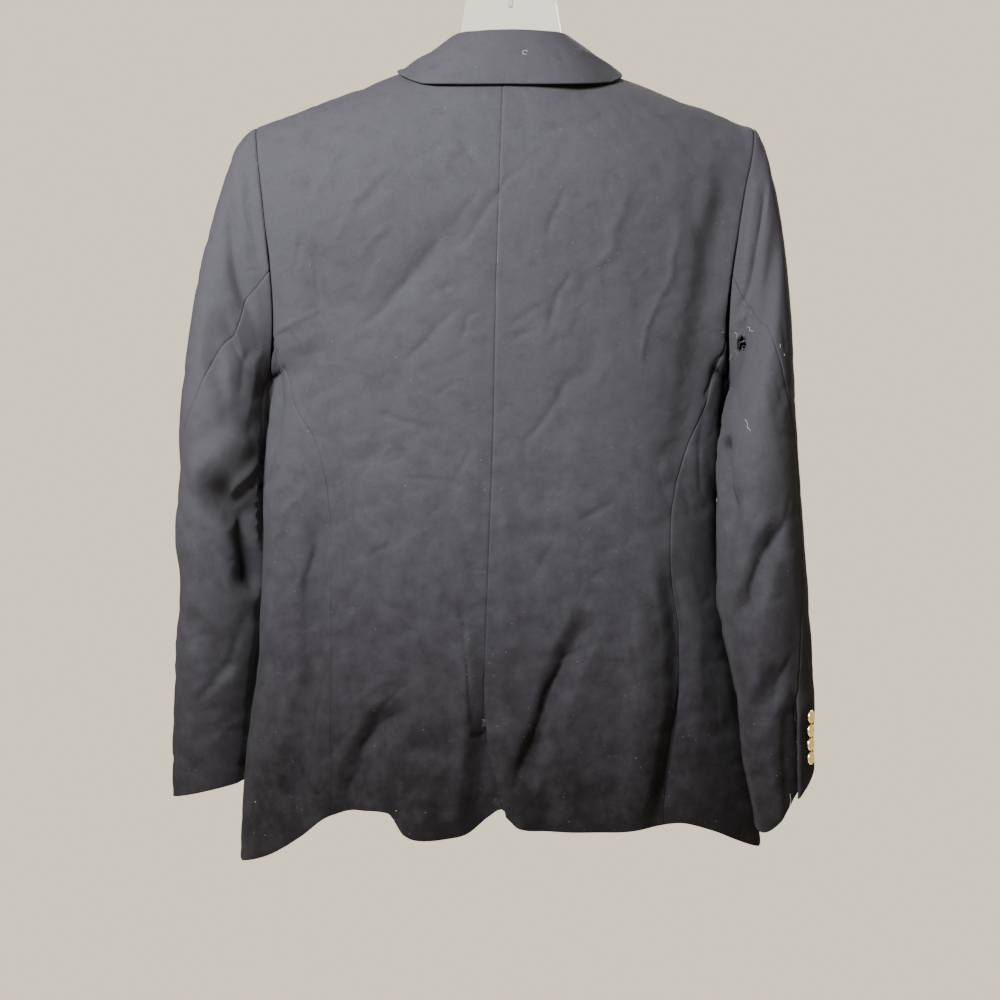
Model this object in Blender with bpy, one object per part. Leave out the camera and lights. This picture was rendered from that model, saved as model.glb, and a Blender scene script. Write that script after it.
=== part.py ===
"""Riding jacket on a clear hanger, seen from its back.

World frame: metres, +Z up. The jacket's back faces -Y and its front +Y, and +X is the
wearer's right. The origin is the inside top of the hanger's hook, where a rail carries it.
"""
import math
from collections import namedtuple

import bmesh
import bpy
from mathutils import Vector

# ---- cloth ------------------------------------------------------------------------------
WALL = 0.0020            # cloth, its interlining and lining together
SEAM = 0.0004            # slit left between two pieces at a seam
CAP_PUFF = 0.0035        # how far the sleeve's head stands proud just past its seam
BESIDE = 0.0050          # least space between a sleeve and the body's side
ARM_SLIT = 0.0006        # further slit where the sleeve is set into its armhole
VENT_LIFT = 0.0028       # how far each layer of a vent moves away from the other
LOWER_ROWS = 16          # rows of a body panel below the end of its side seam
UPPER_ROWS = 8
NECK_COLUMNS = 4         # columns of the back between its centre and the neck point
WIDE_COLUMNS = 8         # columns from there to the side
LAP = WALL + SEAM        # how far an upper layer stands off the one it lies on

# ---- body: one row per level of the side line, hem to shoulder tip ------------------------
# height: of the side line; left/right: how far out the side is; back/front: depth at centre
Level = namedtuple("Level", "height left right back front")
LEVELS = (
    Level(-0.872, -0.249, 0.230, -0.080, 0.072),
    Level(-0.810, -0.246, 0.224, -0.077, 0.072),
    Level(-0.745, -0.240, 0.214, -0.074, 0.071),
    Level(-0.690, -0.232, 0.203, -0.070, 0.068),
    Level(-0.640, -0.227, 0.195, -0.066, 0.065),
    Level(-0.590, -0.227, 0.190, -0.062, 0.062),
    Level(-0.540, -0.229, 0.192, -0.062, 0.062),
    Level(-0.490, -0.225, 0.195, -0.066, 0.065),
    Level(-0.440, -0.219, 0.197, -0.070, 0.067),
    Level(-0.400, -0.213, 0.194, -0.073, 0.068),
    Level(-0.360, -0.213, 0.196, -0.076, 0.068),
    Level(-0.320, -0.217, 0.202, -0.078, 0.066),
    Level(-0.280, -0.222, 0.209, -0.078, 0.062),
    Level(-0.240, -0.228, 0.217, -0.076, 0.058),
    Level(-0.211, -0.233, 0.222, -0.074, 0.055),
)
HEM_LEVEL = LEVELS[0].height
TIP_LEVEL = LEVELS[-1].height
ROLL_FROM = 0.80         # share of the height where the back starts to roll over the shoulder

# top line: distance from the jacket's middle, its height, and its depth on the back
MIDDLE_X = -0.006
TopLine = namedtuple("TopLine", "out height depth")
TOP_LINE = (
    TopLine(0.000, -0.171, -0.046),
    TopLine(0.030, -0.168, -0.040),
    TopLine(0.052, -0.161, -0.022),
    TopLine(0.070, -0.151, 0.009),
    TopLine(0.110, -0.165, 0.008),
    TopLine(0.150, -0.181, 0.005),
    TopLine(0.190, -0.196, 0.002),
    TopLine(0.228, -0.211, 0.000),
)
NECK_OUT = 0.070

# hem of the back: across the jacket, its height
Hem = namedtuple("Hem", "across height")
BACK_HEM = (
    Hem(-0.249, -0.881), Hem(-0.214, -0.866), Hem(-0.185, -0.847), Hem(-0.159, -0.828),
    Hem(-0.108, -0.823), Hem(-0.093, -0.841), Hem(-0.070, -0.845), Hem(-0.040, -0.842),
    Hem(-0.020, -0.828), Hem(-0.009, -0.821), Hem(-0.002, -0.826), Hem(0.006, -0.833),
    Hem(0.030, -0.837), Hem(0.074, -0.839), Hem(0.102, -0.839), Hem(0.128, -0.836),
    Hem(0.149, -0.834), Hem(0.178, -0.843), Hem(0.197, -0.852), Hem(0.230, -0.868),
)
FRONT_HEM = (
    Hem(-0.249, -0.881), Hem(-0.228, -0.863), Hem(-0.200, -0.850), Hem(-0.150, -0.845),
    Hem(-0.060, -0.847), Hem(0.060, -0.848), Hem(0.150, -0.845), Hem(0.200, -0.850),
    Hem(0.230, -0.868),
)

# ---- armholes ---------------------------------------------------------------------------
ARMPIT_Z = -0.440
ARM_DEPTH = 0.046        # half of the armhole, front to back

# ---- seams of the body: height, how far across --------------------------------------------
Seam = namedtuple("Seam", "height across")
CENTRE_BACK = (
    Seam(-0.170, -0.007), Seam(-0.300, -0.011), Seam(-0.400, -0.014), Seam(-0.500, -0.016),
    Seam(-0.600, -0.020), Seam(-0.700, -0.023), Seam(-0.745, -0.022), Seam(-0.784, -0.016),
    Seam(-0.813, -0.009), Seam(-0.832, -0.004),
)
SIDE_BACK_LEFT = (
    Seam(-0.405, -0.206), Seam(-0.430, -0.200), Seam(-0.460, -0.194), Seam(-0.500, -0.176),
    Seam(-0.545, -0.165), Seam(-0.610, -0.161), Seam(-0.700, -0.159), Seam(-0.830, -0.157),
)
SIDE_BACK_RIGHT = (
    Seam(-0.405, 0.187), Seam(-0.430, 0.182), Seam(-0.460, 0.175), Seam(-0.500, 0.160),
    Seam(-0.550, 0.146), Seam(-0.610, 0.141), Seam(-0.665, 0.150), Seam(-0.730, 0.149),
    Seam(-0.835, 0.134),
)
SIDE_FRONT_OUT = (
    Seam(-0.405, 0.188), Seam(-0.430, 0.180), Seam(-0.480, 0.168), Seam(-0.600, 0.155),
    Seam(-0.740, 0.160), Seam(-0.880, 0.166),
)
VENT_TOP = -0.745        # the centre seam ends in a bar tack here
UNDERLAP = 0.034         # the left back runs this far under the right one
# front edges: height, how far past the middle the edge runs
FRONT_EDGE = (
    Seam(-0.151, 0.070), Seam(-0.200, 0.057), Seam(-0.300, 0.028), Seam(-0.400, -0.001),
    Seam(-0.470, -0.019), Seam(-0.540, -0.020), Seam(-0.700, -0.020), Seam(-0.775, -0.014),
    Seam(-0.815, 0.004), Seam(-0.836, 0.030), Seam(-0.849, 0.062),
)
BUTTON_HEIGHTS = (-0.490, -0.585, -0.680)

# ---- large folds of the body: path across/height pairs, half width, depth (+ stands out) --
Fold = namedtuple("Fold", "face path half depth")
FOLDS = (
    Fold("back", ((-0.041, -0.640), (-0.038, -0.713), (-0.040, -0.775), (-0.050, -0.850)), 0.016, 0.008),
    Fold("back", ((0.074, -0.640), (0.045, -0.700), (0.026, -0.755), (-0.002, -0.815)), 0.018, -0.012),
    Fold("back", ((0.137, -0.590), (0.151, -0.668), (0.148, -0.745), (0.126, -0.860)), 0.020, -0.013),
    Fold("back", ((0.112, -0.620), (0.118, -0.740), (0.098, -0.860)), 0.026, 0.007),
    Fold("back", ((-0.084, -0.730), (-0.113, -0.745), (-0.136, -0.790), (-0.148, -0.850)), 0.018, -0.010),
    Fold("back", ((-0.070, -0.770), (-0.080, -0.860)), 0.030, 0.009),
    Fold("back", ((-0.170, -0.540), (-0.178, -0.640), (-0.176, -0.700), (-0.202, -0.860)), 0.018, -0.012),
    Fold("back", ((-0.200, -0.500), (-0.212, -0.610), (-0.220, -0.700)), 0.020, 0.007),
    Fold("back", ((-0.030, -0.295), (-0.087, -0.360), (-0.136, -0.402)), 0.022, -0.0030),
    Fold("back", ((0.202, -0.230), (0.184, -0.330), (0.172, -0.390), (0.168, -0.450)), 0.024, -0.005),
    Fold("front", ((-0.120, -0.560), (-0.112, -0.720), (-0.125, -0.900)), 0.030, -0.010),
    Fold("front", ((0.120, -0.560), (0.126, -0.720), (0.112, -0.900)), 0.030, -0.010),
    Fold("front", ((-0.165, -0.300), (-0.135, -0.400), (-0.110, -0.500)), 0.026, -0.008),
    Fold("front", ((0.160, -0.300), (0.135, -0.400), (0.112, -0.500)), 0.026, -0.008),
)

# at the vent each side has its own: the right flap stands out, the left one falls back
VENT_FOLDS = (
    Fold("left", ((-0.016, -0.735), (-0.022, -0.790), (-0.014, -0.900)), 0.030, -0.010),
    Fold("right", ((-0.004, -0.725), (0.006, -0.780), (0.002, -0.900)), 0.030, 0.009),
)

# ---- sleeves: one row per ring. Outer and inner points of the ring, its depths, and how
# much lower its back is than its front ------------------------------------------------------
# skew: how far the back of the ring lies further from the body than its front
Ring = namedtuple("Ring", "along outer_x outer_z inner_x inner_z back front lean skew")
SLEEVE_LEFT = (
    Ring(0.08, -0.2545, -0.236, -0.2210, -0.446, -0.052, 0.052, 0.000, 0.000),
    Ring(0.16, -0.2695, -0.294, -0.2230, -0.450, -0.057, 0.056, 0.000, 0.006),
    Ring(0.25, -0.2805, -0.349, -0.2240, -0.458, -0.060, 0.058, 0.000, 0.009),
    Ring(0.34, -0.2895, -0.410, -0.2240, -0.480, -0.061, 0.060, 0.000, 0.010),
    Ring(0.43, -0.2985, -0.475, -0.2240, -0.515, -0.060, 0.060, 0.004, 0.010),
    Ring(0.50, -0.2995, -0.530, -0.2240, -0.552, -0.052, 0.062, 0.006, 0.010),
    Ring(0.58, -0.3050, -0.584, -0.2245, -0.592, -0.044, 0.064, 0.006, 0.010),
    Ring(0.66, -0.3020, -0.625, -0.2260, -0.628, -0.036, 0.067, 0.004, 0.010),
    Ring(0.77, -0.3085, -0.690, -0.2300, -0.688, -0.028, 0.070, 0.002, 0.009),
    Ring(0.89, -0.3125, -0.760, -0.2370, -0.752, -0.020, 0.072, 0.000, 0.010),
    Ring(1.00, -0.3135, -0.826, -0.2400, -0.812, -0.016, 0.072, 0.000, 0.010),
)
SLEEVE_RIGHT = (
    Ring(0.08, 0.2360, -0.243, 0.1990, -0.446, -0.054, 0.052, 0.000, 0.000),
    Ring(0.16, 0.2455, -0.300, 0.1975, -0.450, -0.062, 0.054, 0.000, 0.000),
    Ring(0.25, 0.2500, -0.348, 0.1940, -0.458, -0.070, 0.050, 0.000, 0.000),
    Ring(0.34, 0.2530, -0.410, 0.1880, -0.480, -0.080, 0.040, 0.000, -0.002),
    Ring(0.43, 0.2550, -0.475, 0.1840, -0.515, -0.088, 0.030, 0.004, -0.004),
    Ring(0.50, 0.2575, -0.530, 0.1830, -0.550, -0.091, 0.024, 0.006, -0.006),
    Ring(0.58, 0.2615, -0.590, 0.1830, -0.600, -0.092, 0.018, 0.008, -0.009),
    Ring(0.66, 0.2650, -0.640, 0.1835, -0.650, -0.091, 0.012, 0.010, -0.012),
    Ring(0.77, 0.2680, -0.696, 0.1985, -0.715, -0.090, 0.006, 0.018, -0.016),
    Ring(0.89, 0.2685, -0.742, 0.2070, -0.775, -0.088, 0.004, 0.042, -0.018),
    Ring(1.00, 0.2690, -0.783, 0.2175, -0.820, -0.086, 0.004, 0.064, -0.018),
)
# where the seams lie round a ring, in degrees from its outer point through its back
SeamTurn = namedtuple("SeamTurn", "along left right")
ELBOW_SEAM = (
    SeamTurn(0.00, 102.0, 104.0), SeamTurn(0.08, 108.0, 112.0), SeamTurn(0.17, 113.0, 104.0),
    SeamTurn(0.28, 98.0, 82.0), SeamTurn(0.39, 74.0, 50.0), SeamTurn(0.47, 42.0, 30.0),
    SeamTurn(0.60, 14.0, 27.0), SeamTurn(0.80, 6.0, 41.0), SeamTurn(1.00, 6.0, 45.0),
)
FOREARM_SEAM = (
    SeamTurn(0.00, 225.0, 225.0), SeamTurn(0.50, 232.0, 232.0), SeamTurn(1.00, 236.0, 236.0),
)
CUFF_VENT = 0.84         # the vent runs from here to the cuff
VENT_TURN = 16.0         # degrees that the upper sleeve laps over the lower one there
# large folds of a sleeve: path along/turn pairs, half width in metres, depth
SleeveFold = namedtuple("SleeveFold", "side path half depth")
SLEEVE_FOLDS = (
    SleeveFold("left", ((0.515, 80.0), (0.505, 116.0), (0.53, 144.0), (0.60, 154.0), (0.69, 150.0)), 0.030, -0.018),
    SleeveFold("left", ((0.50, 60.0), (0.45, 112.0), (0.38, 150.0)), 0.024, 0.006),
    SleeveFold("left", ((0.16, 120.0), (0.26, 96.0), (0.36, 100.0)), 0.024, -0.006),
    SleeveFold("left", ((0.70, 60.0), (0.76, 95.0), (0.82, 130.0)), 0.024, -0.006),
    SleeveFold("right", ((0.10, 60.0), (0.24, 98.0), (0.38, 126.0)), 0.034, -0.004),
    SleeveFold("right", ((0.41, 136.0), (0.455, 154.0), (0.50, 160.0)), 0.022, -0.015),
    SleeveFold("right", ((0.55, 56.0), (0.58, 88.0), (0.635, 99.0), (0.668, 134.0)), 0.020, -0.007),
    SleeveFold("right", ((0.74, 60.0), (0.79, 95.0), (0.83, 130.0)), 0.024, -0.006),
    SleeveFold("left", ((0.44, 306.0), (0.49, 278.0), (0.51, 254.0)), 0.020, -0.008),
    SleeveFold("right", ((0.44, 306.0), (0.49, 278.0), (0.51, 254.0)), 0.020, -0.008),
)

# ---- tear in the lower right sleeve, just outside the armhole seam: its middle, its half sizes
TEAR_X, TEAR_Z = 0.2045, -0.4130
TEAR_HALF_X, TEAR_HALF_Z = 0.0030, 0.0080
TEAR_FROM_Y, TEAR_DEEP = -0.064, 0.036

# ---- collar: one row per station from centre back to the notch, mirrored ------------------
Collar = namedtuple("Collar", "seam fold edge")
COLLAR = (
    Collar((0.000, -0.0465, -0.1700), (0.000, -0.0470, -0.1355), (0.000, -0.0650, -0.1890)),
    Collar((0.030, -0.0400, -0.1665), (0.029, -0.0420, -0.1350), (0.038, -0.0640, -0.1885)),
    Collar((0.050, -0.0220, -0.1600), (0.049, -0.0270, -0.1325), (0.072, -0.0520, -0.1845)),
    Collar((0.062, 0.0030, -0.1500), (0.061, -0.0020, -0.1330), (0.097, -0.0260, -0.1745)),
    Collar((0.066, 0.0160, -0.1505), (0.064, 0.0150, -0.1400), (0.102, 0.0120, -0.1620)),
    Collar((0.062, 0.0340, -0.1680), (0.062, 0.0360, -0.1585), (0.107, 0.0440, -0.1720)),
    Collar((0.056, 0.0450, -0.1880), (0.056, 0.0520, -0.1815), (0.107, 0.0600, -0.1980)),
)
COLLAR_THICK = 0.0026
LAPEL_TOP = -0.207
LapelRow = namedtuple("LapelRow", "height width rise")
LAPEL = (
    LapelRow(-0.440, 0.004, 0.000), LapelRow(-0.400, 0.022, 0.002), LapelRow(-0.340, 0.046, 0.004),
    LapelRow(-0.280, 0.064, 0.006), LapelRow(-0.235, 0.074, 0.004), LapelRow(-0.207, 0.058, -0.014),
)

# ---- buttons: diameter, thickness -----------------------------------------------------------
FRONT_BUTTON = (0.0200, 0.0060)
CUFF_BUTTON = (0.0114, 0.0048)
CUFF_PITCH = 0.0118
CUFF_COUNT = 4
BUTTON_TURN = 14.0       # degrees from the vent's edge round to its buttons
CUFF_FIRST = 0.940       # place along the sleeve of the button nearest the cuff

# ---- hanger: one row per section from its middle out, mirrored -----------------------------
HangerRow = namedtuple("HangerRow", "out top deep half")
HANGER = (
    HangerRow(0.000, -0.0760, -0.172, 0.0070), HangerRow(0.020, -0.0770, -0.172, 0.0070),
    HangerRow(0.034, -0.0810, -0.173, 0.0070), HangerRow(0.0410, -0.0900, -0.174, 0.0070),
    HangerRow(0.0440, -0.1080, -0.176, 0.0070), HangerRow(0.0470, -0.1260, -0.178, 0.0070),
    HangerRow(0.0510, -0.1500, -0.184, 0.0070), HangerRow(0.0580, -0.1600, -0.190, 0.0072),
    HangerRow(0.0740, -0.1605, -0.197, 0.0080), HangerRow(0.1000, -0.1674, -0.206, 0.0095),
    HangerRow(0.1300, -0.1788, -0.218, 0.0110), HangerRow(0.1600, -0.1923, -0.230, 0.0120),
    HangerRow(0.1850, -0.2033, -0.238, 0.0120), HangerRow(0.1950, -0.2130, -0.236, 0.0090),
)
HANGER_Y = 0.004         # the hanger hangs in the plane of the shoulder seams
HANGER_TILT = 0.0185     # its left arm hangs this much higher, for each metre out
WIRE = 0.0022            # radius of the hook's wire
HOOK_BEND = 0.0180       # inside radius of the hook
STEM_END = -0.0990
SOCKET = 0.0004          # clear space round the stem in the hanger


# ---- helpers ------------------------------------------------------------------------------
def clamp(value, low=0.0, high=1.0):
    return max(low, min(high, value))


def smooth(value):
    value = clamp(value)
    return value * value * (3.0 - 2.0 * value)


def mix(first, second, share):
    return first + (second - first) * share


def along(rows, key, column, at):
    """Value of a table's column at a key, on a smooth curve through the rows."""
    knots = [getattr(row, key) for row in rows]
    values = [getattr(row, column) for row in rows]
    if knots[0] > knots[-1]:
        knots.reverse()
        values.reverse()
    at = clamp(at, knots[0], knots[-1])
    last = len(knots) - 2
    span = next((i for i in range(last + 1) if at <= knots[i + 1]), last)
    slopes = []
    for i in (span, span + 1):
        low, high = max(i - 1, 0), min(i + 1, len(knots) - 1)
        slopes.append((values[high] - values[low]) / (knots[high] - knots[low]))
    width = knots[span + 1] - knots[span]
    t = (at - knots[span]) / width
    rise = 3.0 * t * t - 2.0 * t ** 3
    curve = values[span] * (1.0 - rise) + values[span + 1] * rise
    return curve + width * (slopes[0] * (t - 2 * t * t + t ** 3) + slopes[1] * (t ** 3 - t * t))


def near_path(path, first, second):
    """Distance to a path of pairs, and how far along it the nearest point lies (0..1)."""
    best, place, run = 1e9, 0.0, 0.0
    total = sum(math.dist(path[i], path[i + 1]) for i in range(len(path) - 1))
    for (a0, a1), (b0, b1) in zip(path, path[1:]):
        size = math.dist((a0, a1), (b0, b1))
        t = clamp(((first - a0) * (b0 - a0) + (second - a1) * (b1 - a1)) / (size * size))
        gap = math.dist((first, second), (a0 + (b0 - a0) * t, a1 + (b1 - a1) * t))
        if gap < best:
            best, place = gap, (run + t * size) / total
        run += size
    return best, place


def bump(gap, half, place):
    """A soft fold: one at its line, nought at its half width and at its ends."""
    if gap >= half:
        return 0.0
    return math.cos(math.pi * gap / (2.0 * half)) ** 2 * smooth(5.0 * place) * smooth(5.0 - 5.0 * place)


# ---- the body's surface ---------------------------------------------------------------------
def side_x(share, left):
    height = mix(HEM_LEVEL, TIP_LEVEL, share)
    return along(LEVELS, "height", "left" if left else "right", height)


def body_height(face, u, share):
    """Height of a point: hem line at share 0, neck and shoulder line at share 1."""
    hem = FRONT_HEM if face == "front" else BACK_HEM
    low = along(hem, "across", "height", abs(u) * side_x(0.0, u < 0.0))
    out = abs(abs(u) * side_x(1.0, u < 0.0) - MIDDLE_X)
    if face == "front":
        out = max(out, NECK_OUT)
    return mix(low, along(TOP_LINE, "out", "height", out), share)


def armhole_share(u):
    """Share of the height at which the armpit lies."""
    low, high = body_height("back", u, 0.0), body_height("back", u, 1.0)
    return (ARMPIT_Z - low) / (high - low)


def body_point(face, u, share):
    """Point of the body's outside. u runs from the left side (-1) to the right side (+1)."""
    left = u < 0.0
    level = mix(HEM_LEVEL, TIP_LEVEL, share)
    x = abs(u) * side_x(share, left)
    z = body_height(face, u, share)
    sign = -1.0 if face == "back" else 1.0
    edge_u = -1.0 if left else 1.0
    edge_z = body_height(face, edge_u, share)
    tip_z = body_height(face, edge_u, 1.0)
    roll = math.sqrt(max(0.0, 1.0 - clamp((share - ROLL_FROM) / (1.0 - ROLL_FROM)) ** 2))
    round_arm = clamp((edge_z - (tip_z + ARMPIT_Z) / 2.0) / ((tip_z - ARMPIT_Z) / 2.0), -1.0, 1.0)
    open_arm = 1.0 - round_arm ** 2
    low_arm = open_arm ** 2 if round_arm < 0.0 else math.sqrt(open_arm)
    shape = mix(low_arm, math.sqrt(open_arm), smooth((abs(u) - 0.55) / 0.40))
    side_y = sign * ARM_DEPTH * shape / max(roll, 0.02)
    deep = along(LEVELS, "height", face, level)
    tube = math.sqrt(max(0.0, 1.0 - abs(u) ** 2.6))
    blade = 1.0 - abs(u) ** 3
    section = side_y + (deep - side_y) * mix(tube, blade, smooth((level + 0.45) / 0.09))
    out = abs(abs(u) * side_x(1.0, left) - MIDDLE_X)
    if face == "front":
        out = max(out, NECK_OUT)
    ridge = along(TOP_LINE, "out", "depth", out)
    y = mix(ridge, section, roll)
    push = body_fold(face, x, z)
    return Vector((x + push * math.copysign(abs(u) ** 5, u), y + sign * push * (1.0 - abs(u) ** 5), z))


def body_fold(face, x, z):
    total = 0.0
    for fold in FOLDS:
        if fold.face == face:
            gap, place = near_path(fold.path, x, z)
            total += fold.depth * bump(gap, fold.half, place)
    return total


def body_normal(face, u, share):
    """Outward normal, the same for both pieces that meet at a seam."""
    sign = 1.0 if face == "back" else -1.0
    angle = math.asin(clamp(u, -1.0, 1.0))
    edge = -1.0 if u < 0.0 else 1.0
    open_side = share >= armhole_share(edge) - 1e-6
    step = 0.03

    def wrapped(turn, height):
        side = face
        if abs(turn) > math.pi / 2.0:
            if open_side:
                turn = math.copysign(math.pi / 2.0, turn)
            else:
                turn = math.copysign(math.pi, turn) - turn
                side = other_face(side)
        if height > 1.0:
            height = 2.0 - height
            side = other_face(side)
        return body_point(side, math.sin(turn), max(height, 0.0))

    across = wrapped(angle + step, share) - wrapped(angle - step, share)
    up = wrapped(angle, share + 0.01) - wrapped(angle, share - 0.01)
    return across.cross(up).normalized() * sign


def other_face(face):
    return "front" if face == "back" else "back"


def u_of(x, share):
    return abs(x / side_x(share, x < 0.0)) * (-1.0 if x < 0.0 else 1.0)


def on_body(face, x, z, lift):
    """Point on the body at x and z, moved out by a lift."""
    share = 0.5
    for _ in range(6):
        u = clamp(u_of(x, share), -0.999, 0.999)
        low, high = body_height(face, u, 0.0), body_height(face, u, 1.0)
        share = clamp((z - low) / (high - low), 0.0, 0.999)
    normal = body_normal(face, u, share)
    return body_point(face, u, share) + normal * lift, normal


# ---- sheets of cloth ------------------------------------------------------------------------
def grid_normals(grid, outward):
    """Normals of a grid of points, turned to the side that outward names."""
    rows, cols = len(grid), len(grid[0])
    normals = []
    for r in range(rows):
        line = []
        for c in range(cols):
            up = grid[min(r + 1, rows - 1)][c] - grid[max(r - 1, 0)][c]
            over = grid[r][min(c + 1, cols - 1)] - grid[r][max(c - 1, 0)]
            line.append(over.cross(up).normalized())
        normals.append(line)
    if normals[rows // 2][cols // 2].dot(outward) < 0.0:
        normals = [[-n for n in line] for line in normals]
    return normals


def inset(grid, size):
    """The same grid with its border drawn in, so that neighbours keep a slit."""
    rows, cols = len(grid), len(grid[0])
    moved = [list(line) for line in grid]
    for r in range(rows):
        for c, inner in ((0, 1), (cols - 1, cols - 2)):
            moved[r][c] = moved[r][c] + (grid[r][inner] - grid[r][c]).normalized() * size
    for c in range(cols):
        for r, inner in ((0, 1), (rows - 1, rows - 2)):
            moved[r][c] = moved[r][c] + (grid[inner][c] - grid[r][c]).normalized() * size
    return moved


def sheet(name, grid, normals, material, wall=WALL):
    """Closed wall of cloth: a grid of outside points and the same grid moved in."""
    rows, cols = len(grid), len(grid[0])
    grid = inset(grid, SEAM / 2.0)
    outer = [point for line in grid for point in line]
    inner = [grid[r][c] - normals[r][c] * wall for r in range(rows) for c in range(cols)]
    shift = rows * cols
    faces = []
    for r in range(rows - 1):
        for c in range(cols - 1):
            a, b = r * cols + c, r * cols + c + 1
            d, e = a + cols, b + cols
            faces.append((a, b, e, d))
            faces.append((a + shift, d + shift, e + shift, b + shift))
    rim = [r * cols for r in range(rows - 1, 0, -1)]
    rim += list(range(cols - 1))
    rim += [r * cols + cols - 1 for r in range(rows - 1)]
    rim += [(rows - 1) * cols + c for c in range(cols - 1, 0, -1)]
    for a, b in zip(rim, rim[1:] + rim[:1]):
        faces.append((b, a, a + shift, b + shift))
    return solid(name, outer + inner, faces, material)


def solid(name, verts, faces, material):
    """Closed mesh object with its faces turned outwards."""
    mesh = bpy.data.meshes.new(name)
    mesh.from_pydata([tuple(v) for v in verts], [], faces)
    shape = bmesh.new()
    shape.from_mesh(mesh)
    bmesh.ops.recalc_face_normals(shape, faces=shape.faces)
    shape.to_mesh(mesh)
    shape.free()
    mesh.materials.append(material)
    item = bpy.data.objects.new(name, mesh)
    bpy.context.scene.collection.objects.link(item)
    return item


# ---- panels of the body -----------------------------------------------------------------------
def seam_u(table, share, guess, flip=1.0):
    """u of a seam at a share of the height, from its table of height and across."""
    face = "back" if table is not SIDE_FRONT_OUT else "front"
    z = body_height(face, guess, share)
    x = flip * along(table, "height", "across", z)
    return u_of(x, share)


def meet_share(edge_u):
    """Share of the height where the side seams run into the armhole."""
    low, high = body_height("back", edge_u, 0.0), body_height("back", edge_u, 1.0)
    return (-0.405 - low) / (high - low)


def outer_u(left, share, front=False):
    """u of a back or front panel's outer border: its side seam, then the armhole."""
    edge = -1.0 if left else 1.0
    meet = meet_share(edge)
    if share >= meet:
        return edge
    if front:
        seam = seam_u(SIDE_FRONT_OUT, share, edge * 0.8, edge)
    else:
        seam = seam_u(SIDE_BACK_LEFT if left else SIDE_BACK_RIGHT, share, edge * 0.8)
    return mix(clamp(seam, -0.97, 0.97), edge, clamp(10.0 * share / meet - 9.0) ** 1.5)


def spread(first, last, count):
    """u values from first to last, closer together towards the sides."""
    low, high = math.asin(clamp(first, -1, 1)), math.asin(clamp(last, -1, 1))
    return [math.sin(mix(low, high, i / count)) for i in range(count + 1)]


def lower_rises():
    """Rows below the end of the side seam, as shares of its height; closer at the end."""
    return [i / LOWER_ROWS for i in range(LOWER_ROWS)] + [0.96, 0.98]


def shares(meet):
    """Shares of the height for the rows of a panel, with one where its side seam ends."""
    lower = [meet * rise for rise in lower_rises()]
    upper = [mix(meet, 1.0, 1.0 - (1.0 - i / UPPER_ROWS) ** 1.4) for i in range(UPPER_ROWS + 1)]
    return lower + upper


def arm_normal(side, point, own):
    """Normal shared by body and sleeve along the upper armhole."""
    middle_z = (ARMPIT_Z + TIP_LEVEL) / 2.0
    up = clamp((point.z - middle_z) / (TIP_LEVEL - middle_z), -1.0, 1.0)
    shared = Vector((side * 0.45 * max(up, 0.0), point.y / ARM_DEPTH, up)).normalized()
    weight = smooth((up + 0.2) / 0.4)
    return (own * (1.0 - weight) + shared * weight).normalized()


def panel_normal(face, u, share, point):
    """Normal of a body panel, shared with the sleeve where the panel ends at the armhole."""
    edge = -1.0 if u < 0.0 else 1.0
    own = body_normal(face, u, share)
    if abs(u) > 0.9999 and share >= meet_share(edge):
        return arm_normal(edge, point, own)
    return own


def back_panel(name, left, material):
    edge = -1.0 if left else 1.0
    neck = u_of(MIDDLE_X + edge * NECK_OUT, 1.0)
    grid, normals = [], []
    for share in shares(meet_share(edge)):
        z = body_height("back", 0.0, share)
        first = seam_u(CENTRE_BACK, share, 0.0)
        if left:
            under = smooth((VENT_TOP + 0.002 - z) / 0.012)
            slack = 0.0012 * smooth((VENT_TOP + 0.050 - z) / 0.010)
            first += (under * UNDERLAP - slack) / side_x(share, False)
        across = spread(first, neck, NECK_COLUMNS)[:-1] + spread(neck, outer_u(left, share), WIDE_COLUMNS)
        line = [body_point("back", u, share) for u in across]
        grid.append([lap_at_vent(point, left) for point in line])
        normals.append([panel_normal("back", u, share, point) for u, point in zip(across, line)])
    return sheet(name, grid, normals, material)


def lap_at_vent(point, left):
    """Below the centre seam the right back stands off and the left one sinks under it."""
    reach = smooth((VENT_TOP + 0.012 - point.z) / 0.024)
    near = smooth(1.0 - (abs(point.x) - 0.045) / 0.040)
    lift = VENT_LIFT * reach * near * (-1.0 if left else 1.0)
    for fold in VENT_FOLDS:
        if (fold.face == "left") == left:
            gap, place = near_path(fold.path, point.x, point.z)
            lift += fold.depth * bump(gap, fold.half, place)
    return point - Vector((0.0, lift, 0.0))


def side_panel(name, left, material):
    """From the side-back seam round the side to the side-front seam, up to the armhole."""
    edge = -1.0 if left else 1.0
    pit, meet = armhole_share(edge), meet_share(edge)
    grid, normals = [], []
    for r in lower_rises() + [1.0]:
        line, aims = [], []
        reach = 1.0 - 0.06 * smooth((r - 0.94) / 0.05)
        for step in (-1.0, -0.66, -0.33, 0.0, 0.33, 0.66, 1.0):
            w = step * reach
            face = "back" if w <= 0.0 else "front"
            share = r * mix(pit, meet, abs(w) ** 1.5)
            seam = outer_u(left, share, face == "front")
            u = edge * (1.0 - abs(w) * (1.0 - abs(seam)) * (1.0 - r ** 8 * (1.0 - abs(w) ** 8)))
            line.append(body_point(face, u, share))
            aims.append(body_normal(face, u, share))
        grid.append(line)
        normals.append(aims)
    return sheet(name, grid, normals, material)


def front_x(left, z):
    """Where the front edge runs: the roll line above the first button, then straight down."""
    out = along(FRONT_EDGE, "height", "across", z)
    return MIDDLE_X + (-out if left else out)


def front_lift(left, x):
    """The right front laps over the left one."""
    if left:
        return 0.0
    return 0.0030 * smooth(1.0 - (x - 0.022) / 0.040)


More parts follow.
